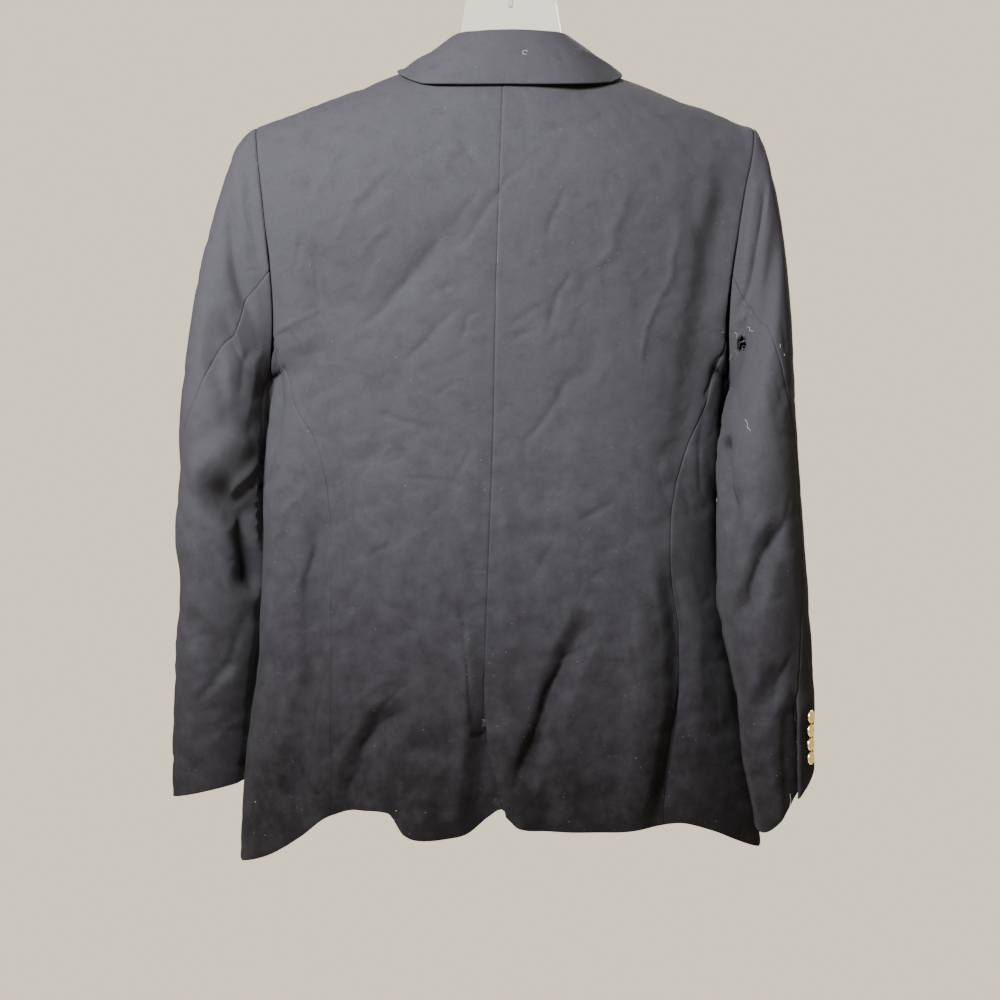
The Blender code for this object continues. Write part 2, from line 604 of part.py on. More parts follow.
def front_panel(name, left, material):
    edge = -1.0 if left else 1.0
    grid, normals = [], []
    for share in shares(meet_share(edge)):
        z = body_height("front", edge * 0.2, share)
        across = spread(u_of(front_x(left, z), share), outer_u(left, share, True), WIDE_COLUMNS)
        line = [body_point("front", u, share) for u in across]
        grid.append([point + Vector((0.0, front_lift(left, point.x), 0.0)) for point in line])
        normals.append([panel_normal("front", u, share, point) for u, point in zip(across, line)])
    return sheet(name, grid, normals, material)


# ---- sleeves --------------------------------------------------------------------------------
def armhole_point(left, turn):
    """Point of the armhole's edge; turn 0 is the tip, 90 the back, 180 the armpit."""
    edge = -1.0 if left else 1.0
    face = "back" if turn <= 180.0 else "front"
    tip_z = body_height("back", edge, 1.0)
    z = mix(ARMPIT_Z, tip_z, 0.5 + 0.5 * math.cos(math.radians(turn)))
    low, high = body_height(face, edge, 0.0), tip_z
    return body_point(face, edge, clamp((z - low) / (high - low), 0.0, 1.0))


def sleeve_point(left, q, turn):
    """Point of a sleeve: q runs from the armhole to the cuff, turn round the ring."""
    table = SLEEVE_LEFT if left else SLEEVE_RIGHT
    turn = turn % 360.0
    angle = math.radians(turn)
    ring = {}
    for column in Ring._fields[1:]:
        ring[column] = along(table, "along", column, max(q, table[0].along))
    cosine, sine = math.cos(angle), math.sin(angle)
    share = 0.5 + 0.5 * cosine
    depth = (ring["front"] - ring["back"]) / 2.0
    x = mix(ring["inner_x"], ring["outer_x"], share) + ring["skew"] * sine * (-1.0 if left else 1.0)
    z = mix(ring["inner_z"], ring["outer_z"], share) - ring["lean"] / 2.0 * sine
    y = (ring["front"] + ring["back"]) / 2.0 - depth * math.copysign(abs(sine) ** 0.9, sine)
    point = Vector((x, y, z))
    middle = Vector(((ring["inner_x"] + ring["outer_x"]) / 2.0, (ring["front"] + ring["back"]) / 2.0, z))
    point += (point - middle).normalized() * sleeve_fold(left, q, turn)
    point.x = beside_body(left, point)
    if q < table[0].along:
        edge = -1.0 if left else 1.0
        start = armhole_point(left, turn) + Vector((edge * ARM_SLIT, 0.0, 0.0))
        share = q / table[0].along
        puff = CAP_PUFF * 4.0 * share * (1.0 - share) * max(cosine, 0.0)
        point = start.lerp(point, share) + puff * Vector((edge * 0.7, 0.0, 0.7))
    return point


def sleeve_normal(left, q, turn):
    """Outward normal, the same for both pieces that meet at a seam."""
    around = sleeve_point(left, q, turn + 4.0) - sleeve_point(left, q, turn - 4.0)
    down = sleeve_point(left, min(q + 0.01, 1.0), turn) - sleeve_point(left, max(q - 0.01, 0.0), turn)
    normal = around.cross(down).normalized()
    return -normal if left else normal


def beside_body(left, point):
    """x of a sleeve's point, pressed flat where it would come too near the body's side."""
    share = clamp((point.z - HEM_LEVEL) / (TIP_LEVEL - HEM_LEVEL))
    deep = along(LEVELS, "height", "back" if point.y < 0.0 else "front", point.z)
    reach = max(0.0, 1.0 - (point.y / deep) ** 2) ** (1.0 / 2.6)
    near = abs(side_x(share, left)) * reach + BESIDE * smooth((ARMPIT_Z + 0.01 - point.z) / 0.03)
    if point.z > ARMPIT_Z + 0.01:
        return point.x
    return -max(-point.x, near) if left else max(point.x, near)


def sleeve_fold(left, q, turn):
    total = 0.0
    for fold in SLEEVE_FOLDS:
        if (fold.side == "left") == left:
            path = [(a * 0.62, b * 0.0009) for a, b in fold.path]
            gap, place = near_path(path, q * 0.62, turn * 0.0009)
            total += fold.depth * bump(gap, fold.half, place)
    return total


def seam_turn(table, left, q):
    return along(table, "along", "left" if left else "right", q)


def sleeve_rows(count):
    """Places along the sleeve, closer together over the cap."""
    cap = [0.0, 0.03, 0.07, 0.12, 0.17, 0.22]
    rest = [mix(0.22, 1.0, (i + 1) / (count - 5)) for i in range(count - 5)]
    return cap + rest


def vent_reach(q):
    return smooth((q - CUFF_VENT) / 0.05 + 1.0)


def sleeve_panel(name, left, upper, material):
    """Upper sleeve over the outside of the arm, or lower sleeve under it."""
    edge = -1.0 if left else 1.0
    columns = 10 if upper else 8
    grid, normals = [], []
    for q in sleeve_rows(22):
        elbow = seam_turn(ELBOW_SEAM, left, q)
        forearm = seam_turn(FOREARM_SEAM, left, q)
        line, aims = [], []
        for c in range(columns + 1):
            if upper:
                turn = mix(forearm - 360.0, elbow, c / columns)
                lift = VENT_LIFT * smooth((turn - elbow + 3 * VENT_TURN) / VENT_TURN)
            else:
                turn = mix(elbow - VENT_TURN * smooth((q - CUFF_VENT - 0.01) / 0.02), forearm, c / columns)
                lift = -VENT_LIFT * smooth((elbow + 2 * VENT_TURN - turn) / VENT_TURN)
            own = sleeve_normal(left, q, turn)
            point = sleeve_point(left, q, turn)
            aims.append(arm_normal(edge, point, own) if q == 0.0 else own)
            line.append(point + own * lift * vent_reach(q))
        grid.append(line)
        normals.append(aims)
    return sheet(name, grid, normals, material)


def tear(sleeve, material):
    """The tear's hole goes through the sleeve's wall: a round rod, drawn out upwards."""
    profile = ((0.0, 0.0), (TEAR_HALF_X, 0.0), (TEAR_HALF_X, TEAR_DEEP), (0.0, TEAR_DEEP))
    middle = Vector((TEAR_X, TEAR_FROM_Y, TEAR_Z))
    rod = turned("cutter", middle, Vector((0.0, 1.0, 0.0)), profile, material, 12)
    for vert in rod.data.vertices:
        vert.co.z = TEAR_Z + (vert.co.z - TEAR_Z) * TEAR_HALF_Z / TEAR_HALF_X
    cut_through(sleeve, rod)


# ---- collar and lapels -------------------------------------------------------------------------
def collar_curve(name, k):
    """Point of the collar's seam, fold or edge line; k runs -1 left, 0 centre, +1 right."""
    place = abs(k) * (len(COLLAR) - 1)
    first = min(int(place), len(COLLAR) - 2)
    before, after = max(first - 1, 0), min(first + 2, len(COLLAR) - 1)
    p0, p1, p2, p3 = (Vector(getattr(COLLAR[i], name)) for i in (before, first, first + 1, after))
    if first == 0:
        p0 = Vector((-p2.x, p2.y, p2.z))
    t = place - first
    point = 0.5 * (2 * p1 + (p2 - p0) * t + (2 * p0 - 5 * p1 + 4 * p2 - p3) * t * t
                   + (3 * p1 - p0 - 3 * p2 + p3) * t ** 3)
    point.x = math.copysign(point.x, k)
    return point


def collar_fall(material):
    """The leaf of the collar, from its fold down over the back and shoulders."""
    grid = []
    for row in range(5):
        share = row / 4.0
        line = []
        for c in range(29):
            k = c / 14.0 - 1.0
            fold, edge = collar_curve("fold", k), collar_curve("edge", k)
            point = fold.lerp(edge, share)
            away = Vector((point.x, point.y - 0.01, 0.03)).normalized()
            point += away * 0.004 * 4.0 * share * (1.0 - share)
            line.append(clear_of_body(point, COLLAR_THICK + 2.0 * SEAM))
        grid.append(line)
    grid.reverse()
    return sheet("collar_fall", grid, grid_normals(grid, Vector((0.0, -1.0, 0.5))), material, COLLAR_THICK)


def clear_of_body(point, need):
    """The point, moved out of the body where it comes nearer than it needs to be."""
    face = "back" if point.y < 0.006 else "front"
    spot, normal = on_body(face, point.x, point.z, 0.0)
    gap = (point - spot).dot(normal)
    return point + normal * (need - gap) if gap < need else point


def collar_stand(material):
    """The band that stands up inside the leaf, from the neck seam to the fold."""
    grid = []
    for row in range(4):
        share = mix(0.03, 0.86, row / 3.0)
        line = []
        for c in range(25):
            k = 0.93 * (c / 12.0 - 1.0)
            seam, fold = collar_curve("seam", k), collar_curve("fold", k)
            inward = Vector((-fold.x * 0.05, 0.0034 if abs(k) < 0.6 else -0.0034, 0.0))
            line.append(seam.lerp(fold + inward * share, share) + Vector((0.0, 0.0, 0.0006)))
        grid.append(line)
    return sheet("collar_stand", grid, grid_normals(grid, Vector((0.0, -1.0, 0.0))), material, 0.0018)


def lapel(name, left, material):
    """Lapel turned back along the roll line; it lies on the front, moved out."""
    start = -0.385 if left else LAPEL[0].height
    edge = -1.0 if left else 1.0
    grid = []
    for row in range(9):
        z = mix(start, LAPEL_TOP, row / 8.0)
        width = along(LAPEL, "height", "width", z)
        rise = along(LAPEL, "height", "rise", z)
        line = []
        for c in range(6):
            x = front_x(left, z) + edge * width * c / 5.0
            lift = front_lift(left, x) + LAP + 0.0006
            point, _ = on_body("front", x, z + rise * c / 5.0, lift)
            line.append(point)
        grid.append(line)
    return sheet(name, grid, grid_normals(grid, Vector((0.0, 1.0, 0.0))), material)


# ---- buttons, hanger, hook ----------------------------------------------------------------------
def turned(name, spot, aim, profile, material, sides=10):
    """Solid of revolution about aim; profile rows are radius and height."""
    aim = aim.normalized()
    first = aim.orthogonal().normalized()
    second = aim.cross(first)
    verts, faces = [spot + aim * profile[0][1]], []
    for radius, height in profile[1:-1]:
        for i in range(sides):
            angle = 2.0 * math.pi * i / sides
            verts.append(spot + aim * height + radius * (first * math.cos(angle) + second * math.sin(angle)))
    verts.append(spot + aim * profile[-1][1])
    rings = len(profile) - 2
    for i in range(sides):
        j = (i + 1) % sides
        faces.append((0, 1 + j, 1 + i))
        for ring in range(rings - 1):
            a, b = 1 + ring * sides, 1 + (ring + 1) * sides
            faces.append((a + i, a + j, b + j, b + i))
        top = 1 + (rings - 1) * sides
        faces.append((top + i, top + j, len(verts) - 1))
    return solid(name, verts, faces, material)


def button(name, spot, aim, size, material):
    """Domed metal button with a rim, standing just off the cloth."""
    radius, thick = size[0] / 2.0, size[1]
    profile = ((0.0, 0.0), (radius * 0.45, 0.0), (radius * 0.94, thick * 0.30), (radius, thick * 0.45),
               (radius * 0.90, thick * 0.66), (radius * 0.55, thick * 0.92), (0.0, thick))
    return turned(name, spot + aim.normalized() * SEAM, aim, profile, material)


def front_buttons(material):
    for number, z in enumerate(BUTTON_HEIGHTS, 1):
        spot, normal = on_body("front", MIDDLE_X, z, 0.0)
        spot.y += front_lift(False, MIDDLE_X)
        button(f"front_button_{number}", spot, normal, FRONT_BUTTON, material)


def cuff_buttons(left, material):
    """Four in a touching row on the upper sleeve, beside the vent."""
    side = "left" if left else "right"
    q = CUFF_FIRST
    for number in range(CUFF_COUNT):
        turn = seam_turn(ELBOW_SEAM, left, q) - BUTTON_TURN
        spot = sleeve_point(left, q, turn)
        normal = sleeve_normal(left, q, turn)
        button(f"cuff_button_{side}_{number + 1}", spot + normal * (VENT_LIFT + 0.0002), normal,
               CUFF_BUTTON, material)
        q -= CUFF_PITCH * 0.02 / (sleeve_point(left, q, turn) - sleeve_point(left, q - 0.02, turn)).length


def cut_through(body, cutter):
    """Take the cutter's shape out of a solid."""
    cut = body.modifiers.new("cut", "BOOLEAN")
    cut.operation = "DIFFERENCE"
    cut.solver = "EXACT"
    cut.object = cutter
    shaped = bpy.data.meshes.new_from_object(body.evaluated_get(bpy.context.evaluated_depsgraph_get()))
    body.modifiers.clear()
    body.data = shaped
    bpy.data.objects.remove(cutter)


def loft(name, rings, material):
    """Closed solid through rings of the same number of points, capped at both ends."""
    count = len(rings[0])
    verts = [point for ring in rings for point in ring]
    faces = [tuple(range(count)), tuple(range(len(verts) - count, len(verts)))]
    for r in range(len(rings) - 1):
        for i in range(count):
            j = (i + 1) % count
            a = r * count
            faces.append((a + i, a + j, a + count + j, a + count + i))
    return solid(name, verts, faces, material)


def hanger_ring(row, side):
    x = row.out * side
    middle, half_z = (row.top + row.deep) / 2.0, (row.top - row.deep) / 2.0
    ring = []
    for i in range(12):
        angle = 2.0 * math.pi * (i + 0.5) / 12
        cosine, sine = math.cos(angle), math.sin(angle)
        y = HANGER_Y + row.half * math.copysign(abs(cosine) ** 0.4, cosine)
        z = middle + half_z * math.copysign(abs(sine) ** 0.3, sine) - HANGER_TILT * x
        ring.append(Vector((x, y, z)))
    return ring


def hanger_body(material):
    rings = [hanger_ring(row, -1.0) for row in reversed(HANGER[1:])]
    rings += [hanger_ring(row, 1.0) for row in HANGER]
    body = loft("hanger_body", rings, material)
    top = HANGER[0].top + 0.02
    size = WIRE + SOCKET
    profile = ((0.0, STEM_END - SOCKET), (size, STEM_END - SOCKET), (size, top), (0.0, top))
    cutter = turned("cutter", Vector((0.0, HANGER_Y, 0.0)), Vector((0.0, 0.0, 1.0)), profile, material, 12)
    cut_through(body, cutter)
    return body


def hook_path():
    """Middle line of the hook's wire: stem, bend to one side, over the top and down."""
    radius = HOOK_BEND + WIRE
    path = [Vector((0.0, HANGER_Y, z)) for z in (STEM_END, -0.080, -0.064)]
    path += [Vector((0.0015, HANGER_Y, -0.054)), Vector((0.0080, HANGER_Y, -0.0440))]
    for step in range(13):
        angle = math.radians(-42.0 + step * 19.0)
        x = radius * math.cos(angle)
        path.append(Vector((x, HANGER_Y * (1.0 - smooth(step / 4.0)), radius * math.sin(angle) - HOOK_BEND)))
    return path


def hook(material):
    path = hook_path()
    rings = []
    for i, point in enumerate(path):
        ahead = path[min(i + 1, len(path) - 1)] - path[max(i - 1, 0)]
        side = Vector((0.0, 1.0, 0.0))
        up = ahead.normalized().cross(side).normalized()
        over = up.cross(ahead.normalized())
        rings.append([point + WIRE * (over * math.cos(a) + up * math.sin(a))
                      for a in (2.0 * math.pi * k / 8 for k in range(8))])
    return loft("hanger_hook", rings, material)


# ---- materials ----------------------------------------------------------------------------------
def material(name, colour, rough, metal=0.0):
    made = bpy.data.materials.new(name)
    made.use_nodes = True
    shader = made.node_tree.nodes["Principled BSDF"]
    shader.inputs["Base Color"].default_value = (*colour, 1.0)
    shader.inputs["Roughness"].default_value = rough
    shader.inputs["Metallic"].default_value = metal
    return made


def build():
    for item in list(bpy.data.objects):
        bpy.data.objects.remove(item)
    wool = material("navy_wool", (0.030, 0.031, 0.040), 0.9)
    brass = material("gilt_brass", (0.60, 0.50, 0.24), 0.3, 1.0)
    clear = material("clear_plastic", (0.80, 0.82, 0.82), 0.1)
    steel = material("plated_steel", (0.62, 0.62, 0.62), 0.25, 1.0)
    for left, side in ((True, "left"), (False, "right")):
        back_panel(f"back_{side}", left, wool)
        side_panel(f"side_{side}", left, wool)
        front_panel(f"front_{side}", left, wool)
        sleeve_panel(f"sleeve_upper_{side}", left, True, wool)
        lower = sleeve_panel(f"sleeve_under_{side}", left, False, wool)
        if not left:
            tear(lower, wool)
        lapel(f"lapel_{side}", left, wool)
        cuff_buttons(left, brass)
    collar_stand(wool)
    collar_fall(wool)
    front_buttons(brass)
    hanger_body(clear)
    hook(steel)


build()
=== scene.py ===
"""Riding jacket on a clear hanger: cloth, sewing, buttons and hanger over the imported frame."""
from __future__ import annotations

import logging
import math
from dataclasses import dataclass, field
from enum import Enum
from typing import NamedTuple, Sequence

import bpy
import numpy as np
from mathutils.bvhtree import BVHTree
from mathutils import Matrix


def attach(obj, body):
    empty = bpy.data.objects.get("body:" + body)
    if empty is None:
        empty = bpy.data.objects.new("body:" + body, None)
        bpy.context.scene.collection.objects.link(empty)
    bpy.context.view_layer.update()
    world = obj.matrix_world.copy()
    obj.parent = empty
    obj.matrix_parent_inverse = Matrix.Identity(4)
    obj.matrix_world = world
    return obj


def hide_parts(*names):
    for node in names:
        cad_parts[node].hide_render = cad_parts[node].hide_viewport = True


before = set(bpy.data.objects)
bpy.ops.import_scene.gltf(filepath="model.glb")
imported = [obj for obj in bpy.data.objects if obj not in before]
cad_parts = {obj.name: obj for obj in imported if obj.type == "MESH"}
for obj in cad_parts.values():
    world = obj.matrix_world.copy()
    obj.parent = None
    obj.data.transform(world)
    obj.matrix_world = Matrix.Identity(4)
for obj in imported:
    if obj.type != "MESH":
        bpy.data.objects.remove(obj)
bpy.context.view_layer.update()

LOG = logging.getLogger("riding_jacket")
Array = np.ndarray
Piece = bpy.types.Object
Material = bpy.types.Material
Tree = bpy.types.NodeTree
Socket = bpy.types.NodeSocket

WALL = 0.0020            # cloth, interlining and lining together
SEAM = 0.0004            # distance of the buttons and lapels from the cloth under them
SLIT = 0.00005           # slit between two pieces at a seam
STEP = 0.0028            # spacing of the cloth's points
FINE_STEP = 0.0022       # and on the two backs, which the photograph shows whole
FRONT_STEP = 0.0030      # and across the fronts, which it doesn't show
MM = 0.001
BORDER_ROWS = (0.0, 0.0005, 0.0011, 0.0018, 0.0029, 0.0044)   # rows that shape a border


# ---- rows of the tables ----
class Fold(NamedTuple):
    """Large fold: where it is, its path, its half width and its depth in metres."""
    face: str
    path: tuple
    half: float
    depth: float


class Crease(NamedTuple):
    """Small crease: half width and depth in millimetres (+ stands out), path of x, z in mm."""
    half: float
    depth: float
    path: tuple


def large_folds(*rows: tuple) -> tuple:
    """Large folds from rows of face, path, half width and depth."""
    return tuple(Fold(*row) for row in rows)


def creases(*rows: tuple) -> tuple:
    """Creases from rows of half width, depth and then x, z of each point, all in millimetres."""
    return tuple(Crease(*row[:2], tuple(zip(row[2::2], row[3::2]))) for row in rows)


class Side(Enum):
    """Side of the jacket as the camera sees its back."""
    LEFT = "left"
    RIGHT = "right"

    @property
    def edge(self) -> float:
        """-1 on the left, +1 on the right."""
        return -1.0 if self is Side.LEFT else 1.0


class Border(Enum):
    """How one border of a cloth piece is finished."""
    SEAM = "seam"
    EDGE = "edge"
    HIDDEN = "hidden"


# ---- small maths ----
def smooth(value: Array | float) -> Array | float:
    """Soft step from 0 to 1."""
    value = np.clip(value, 0.0, 1.0)
    return value * value * (3.0 - 2.0 * value)


def mix(first: Array | float, second: Array | float, share: Array | float) -> Array | float:
    """Value between two, at a share."""
    return first + (second - first) * share


def unit(vectors: Array) -> Array:
    """Vectors at length one."""
    size = np.linalg.norm(vectors, axis=-1, keepdims=True)
    return vectors / np.maximum(size, 1e-12)


def stack(x: Array, y: Array, z: Array) -> Array:
    """Points from three arrays of coordinates."""
    return np.stack(np.broadcast_arrays(x, y, z), axis=-1)


def spread(*values: Array | float | bool) -> list[Array]:
    """Arrays of one shape: the first as it is, the others as floats."""
    return list(np.broadcast_arrays(values[0], *(np.asarray(v, float) for v in values[1:])))


def hump(gap: Array, at: float, half: float) -> Array:
    """Bell curve: one where the gap is at its middle."""
    return np.exp(-((gap - at) / half) ** 2)


class Curve:
    """Smooth curve through values at knots."""

    def __init__(self, knots: Sequence, values: Sequence) -> None:
        """Sorts the knots and finds the slope at each."""
        order = np.argsort(knots)
        self.knots, self.values = (np.array(row, dtype=float)[order] for row in (knots, values))
        index = np.arange(len(knots))
        low, high = np.maximum(index - 1, 0), np.minimum(index + 1, len(knots) - 1)
        rise, run = self.values[high] - self.values[low], self.knots[high] - self.knots[low]
        self.slopes = rise / run

    def __call__(self, at: Array | float) -> Array:
        """Value at places between the knots."""
        at = np.clip(at, self.knots[0], self.knots[-1])
        span = np.clip(np.searchsorted(self.knots, at, side="left") - 1, 0, len(self.knots) - 2)
        width = self.knots[span + 1] - self.knots[span]
        t = (at - self.knots[span]) / width
        rise = 3.0 * t * t - 2.0 * t ** 3
        curve = self.values[span] * (1.0 - rise) + self.values[span + 1] * rise
        lean = (self.slopes[span] * (t - 2 * t * t + t ** 3)
                + self.slopes[span + 1] * (t ** 3 - t * t))
        return curve + width * lean


class Table:
    """Rows of sizes under named columns, the first of which is the key of the others."""

    def __init__(self, columns: str, *rows: tuple) -> None:
        """Splits the rows into columns."""
        self.columns = dict(zip(columns.split(), zip(*rows)))
        self.curves = {}

    def at(self, column: str, key: Array | float) -> Array:
        """Value of a column on its smooth curve over the key."""
        if column not in self.curves:
            self.curves[column] = Curve(next(iter(self.columns.values())), self.columns[column])
        return self.curves[column](key)


def near_path(path: Sequence, first: Array, second: Array) -> tuple[Array, Array]:
    """How near points lie to a path.

    Args:
        path: pairs of coordinates.
        first: the points' first coordinate.
        second: their second one.

    Returns:
        The distance, and the place along the path (0..1) of its nearest point.
    """
    best, place = np.full(np.shape(first), 1e9), np.zeros(np.shape(first))
    total = sum(math.dist(a, b) for a, b in zip(path, path[1:]))
    run = 0.0
    for (a0, a1), (b0, b1) in zip(path, path[1:]):
        size = math.dist((a0, a1), (b0, b1))
        reach = (first - a0) * (b0 - a0) + (second - a1) * (b1 - a1)
        t = np.clip(reach / (size * size), 0.0, 1.0)
        gap = np.hypot(first - (a0 + (b0 - a0) * t), second - (a1 + (b1 - a1) * t))
        nearer = gap < best
        best = np.where(nearer, gap, best)
        place = np.where(nearer, (run + t * size) / total, place)
        run += size
    return best, place


def fold_bump(gap: Array, half: float, place: Array) -> Array:
    """Large fold: one at its line, nought at its half width and at its ends."""
    wave = np.cos(np.pi * np.minimum(gap, half) / (2.0 * half)) ** 2
    return wave * smooth(5.0 * place) * smooth(5.0 - 5.0 * place)


class Rumple:
    """Seeded smooth noise in space, from -1 to 1."""

    def __init__(self, seed: int, cells: int = 24) -> None:
        self.cells = cells
        self.lattice = np.random.default_rng(seed).uniform(-1.0, 1.0, (cells, cells, cells))

    def __call__(self, points: Array, size: float) -> Array:
        """Noise at points, with bumps of that size in metres."""
        spot = points / size
        low = np.floor(spot).astype(int)
        part = smooth(spot - low)
        total = np.zeros(points.shape[:-1])
        for corner in range(8):
            pick = [(corner >> axis) & 1 for axis in range(3)]
            weight = np.ones(points.shape[:-1])
            for axis in range(3):
                weight = weight * (part[..., axis] if pick[axis] else 1.0 - part[..., axis])
            index = [(low[..., axis] + pick[axis]) % self.cells for axis in range(3)]
            total += weight * self.lattice[index[0], index[1], index[2]]
        return total


# ---- the body's form ----
@dataclass(frozen=True)
class BodyForm:
    """Outside of the jacket's body; the same named sizes as the solids."""

    levels: Table = Table(    # side line and depths of the body
        "height left right back front", (-0.872, -0.249, 0.230, -0.080, 0.072),
        (-0.810, -0.246, 0.224, -0.077, 0.072), (-0.745, -0.240, 0.214, -0.074, 0.071),
        (-0.690, -0.232, 0.203, -0.070, 0.068), (-0.640, -0.227, 0.195, -0.066, 0.065),
        (-0.590, -0.227, 0.190, -0.062, 0.062), (-0.540, -0.229, 0.192, -0.062, 0.062),
        (-0.490, -0.225, 0.195, -0.066, 0.065), (-0.440, -0.219, 0.197, -0.070, 0.067),
        (-0.400, -0.213, 0.194, -0.073, 0.068), (-0.360, -0.213, 0.196, -0.076, 0.068),
        (-0.320, -0.217, 0.202, -0.078, 0.066), (-0.280, -0.222, 0.209, -0.078, 0.062),
        (-0.240, -0.228, 0.217, -0.076, 0.058), (-0.211, -0.233, 0.222, -0.074, 0.055))
    top_line: Table = Table(    # neck and shoulder line, outwards from the middle
        "out height depth", (0.000, -0.171, -0.046), (0.030, -0.168, -0.040),
        (0.052, -0.161, -0.022), (0.070, -0.151, 0.009), (0.110, -0.165, 0.008),
        (0.150, -0.181, 0.005), (0.190, -0.196, 0.002), (0.228, -0.211, 0.000))
    back_hem: Table = Table(
        "across height", (-0.249, -0.881), (-0.214, -0.866), (-0.185, -0.847), (-0.159, -0.828),
        (-0.108, -0.823), (-0.093, -0.841), (-0.070, -0.845), (-0.040, -0.842), (-0.020, -0.828),
        (-0.009, -0.821), (-0.002, -0.826), (0.006, -0.833), (0.030, -0.837), (0.074, -0.839),
        (0.102, -0.839), (0.128, -0.836), (0.149, -0.834), (0.178, -0.843), (0.197, -0.852),
        (0.230, -0.868))
    front_hem: Table = Table(
        "across height", (-0.249, -0.881), (-0.228, -0.863), (-0.200, -0.850), (-0.150, -0.845),
        (-0.060, -0.847), (0.060, -0.848), (0.150, -0.845), (0.200, -0.850), (0.230, -0.868))
    centre_back: Table = Table(
        "height across", (-0.170, -0.007), (-0.300, -0.011), (-0.400, -0.014), (-0.500, -0.016),
        (-0.600, -0.020), (-0.700, -0.023), (-0.745, -0.022), (-0.784, -0.016), (-0.813, -0.009),
        (-0.832, -0.004))
    side_back_left: Table = Table(
        "height across", (-0.405, -0.206), (-0.430, -0.200), (-0.460, -0.194), (-0.500, -0.176),
        (-0.545, -0.165), (-0.610, -0.161), (-0.700, -0.159), (-0.830, -0.157))
    side_back_right: Table = Table(
        "height across", (-0.405, 0.187), (-0.430, 0.182), (-0.460, 0.175), (-0.500, 0.160),
        (-0.550, 0.146), (-0.610, 0.141), (-0.665, 0.150), (-0.730, 0.149), (-0.835, 0.134))
    side_front: Table = Table(
        "height across", (-0.405, 0.188), (-0.430, 0.180), (-0.480, 0.168), (-0.600, 0.155),
        (-0.740, 0.160), (-0.880, 0.166))
    front_edge: Table = Table(
        "height across", (-0.151, 0.070), (-0.200, 0.057), (-0.300, 0.028), (-0.400, -0.001),
        (-0.470, -0.019), (-0.540, -0.020), (-0.700, -0.020), (-0.775, -0.014), (-0.815, 0.004),
        (-0.836, 0.030), (-0.849, 0.062))
    folds: tuple = large_folds(
        ("back", ((-0.041, -0.640), (-0.038, -0.713), (-0.040, -0.775),
          (-0.050, -0.850)), 0.016, 0.008),
        ("back", ((0.074, -0.640), (0.045, -0.700), (0.026, -0.755),
          (-0.002, -0.815)), 0.018, -0.012),
        ("back", ((0.137, -0.590), (0.151, -0.668), (0.148, -0.745),
          (0.126, -0.860)), 0.020, -0.013),
        ("back", ((0.112, -0.620), (0.118, -0.740), (0.098, -0.860)), 0.026, 0.007),
        ("back", ((-0.084, -0.730), (-0.113, -0.745), (-0.136, -0.790),
          (-0.148, -0.850)), 0.018, -0.010),
        ("back", ((-0.070, -0.770), (-0.080, -0.860)), 0.030, 0.009),
        ("back", ((-0.170, -0.540), (-0.178, -0.640), (-0.176, -0.700),
          (-0.202, -0.860)), 0.018, -0.012),
        ("back", ((-0.200, -0.500), (-0.212, -0.610), (-0.220, -0.700)), 0.020, 0.007),
        ("back", ((-0.030, -0.295), (-0.087, -0.360), (-0.136, -0.402)), 0.022, -0.0030),
        ("back", ((0.202, -0.230), (0.184, -0.330), (0.172, -0.390),
          (0.168, -0.450)), 0.024, -0.005),
        ("front", ((-0.120, -0.560), (-0.112, -0.720), (-0.125, -0.900)), 0.030, -0.010),
        ("front", ((0.120, -0.560), (0.126, -0.720), (0.112, -0.900)), 0.030, -0.010),
        ("front", ((-0.165, -0.300), (-0.135, -0.400), (-0.110, -0.500)), 0.026, -0.008),
        ("front", ((0.160, -0.300), (0.135, -0.400), (0.112, -0.500)), 0.026, -0.008))
    vent_folds: tuple = large_folds(
        ("left", ((-0.016, -0.735), (-0.022, -0.790), (-0.014, -0.900)), 0.030, -0.010),
        ("right", ((-0.004, -0.725), (0.006, -0.780), (0.002, -0.900)), 0.030, 0.009))
    roll_from: float = 0.80
    middle: float = -0.006
    neck_out: float = 0.070
    armpit: float = -0.440
    arm_depth: float = 0.046
    seam_end: float = -0.405     # height at which the side seams run into the armhole
    vent_top: float = -0.745
    underlap: float = 0.034
    vent_lift: float = 0.0028
    front_lap: float = 0.0030

    @property
    def hem_level(self) -> float:
        """Lowest height of the side line."""
        return self.levels.columns["height"][0]

    @property
    def tip_level(self) -> float:
        """Height of the shoulder tips."""
        return self.levels.columns["height"][-1]

    def side_x(self, share: Array, left: Array) -> Array:
        """How far out the side lies at a share of the height."""
        height = mix(self.hem_level, self.tip_level, share)
        return np.where(left, self.levels.at("left", height), self.levels.at("right", height))

    def out(self, back: Array, u: Array) -> Array:
        """Distance from the jacket's middle at the top line."""
        far = np.abs(np.abs(u) * self.side_x(1.0, u < 0.0) - self.middle)
        return np.where(back, far, np.maximum(far, self.neck_out))

    def height(self, back: Array, u: Array, share: Array) -> Array:
        """Height of a point: hem at share 0, neck and shoulder line at share 1."""
        across = np.abs(u) * self.side_x(0.0, np.asarray(u) < 0.0)
        low = np.where(back, *(hem.at("height", across) for hem in (self.back_hem, self.front_hem)))
        high = self.top_line.at("height", self.out(back, np.asarray(u)))
        return mix(low, high, share)

    def armhole_share(self, u: float, at: float) -> Array:
        """Share of the height of a level on the side line."""
        low, high = self.height(True, u, 0.0), self.height(True, u, 1.0)
        return (at - low) / (high - low)

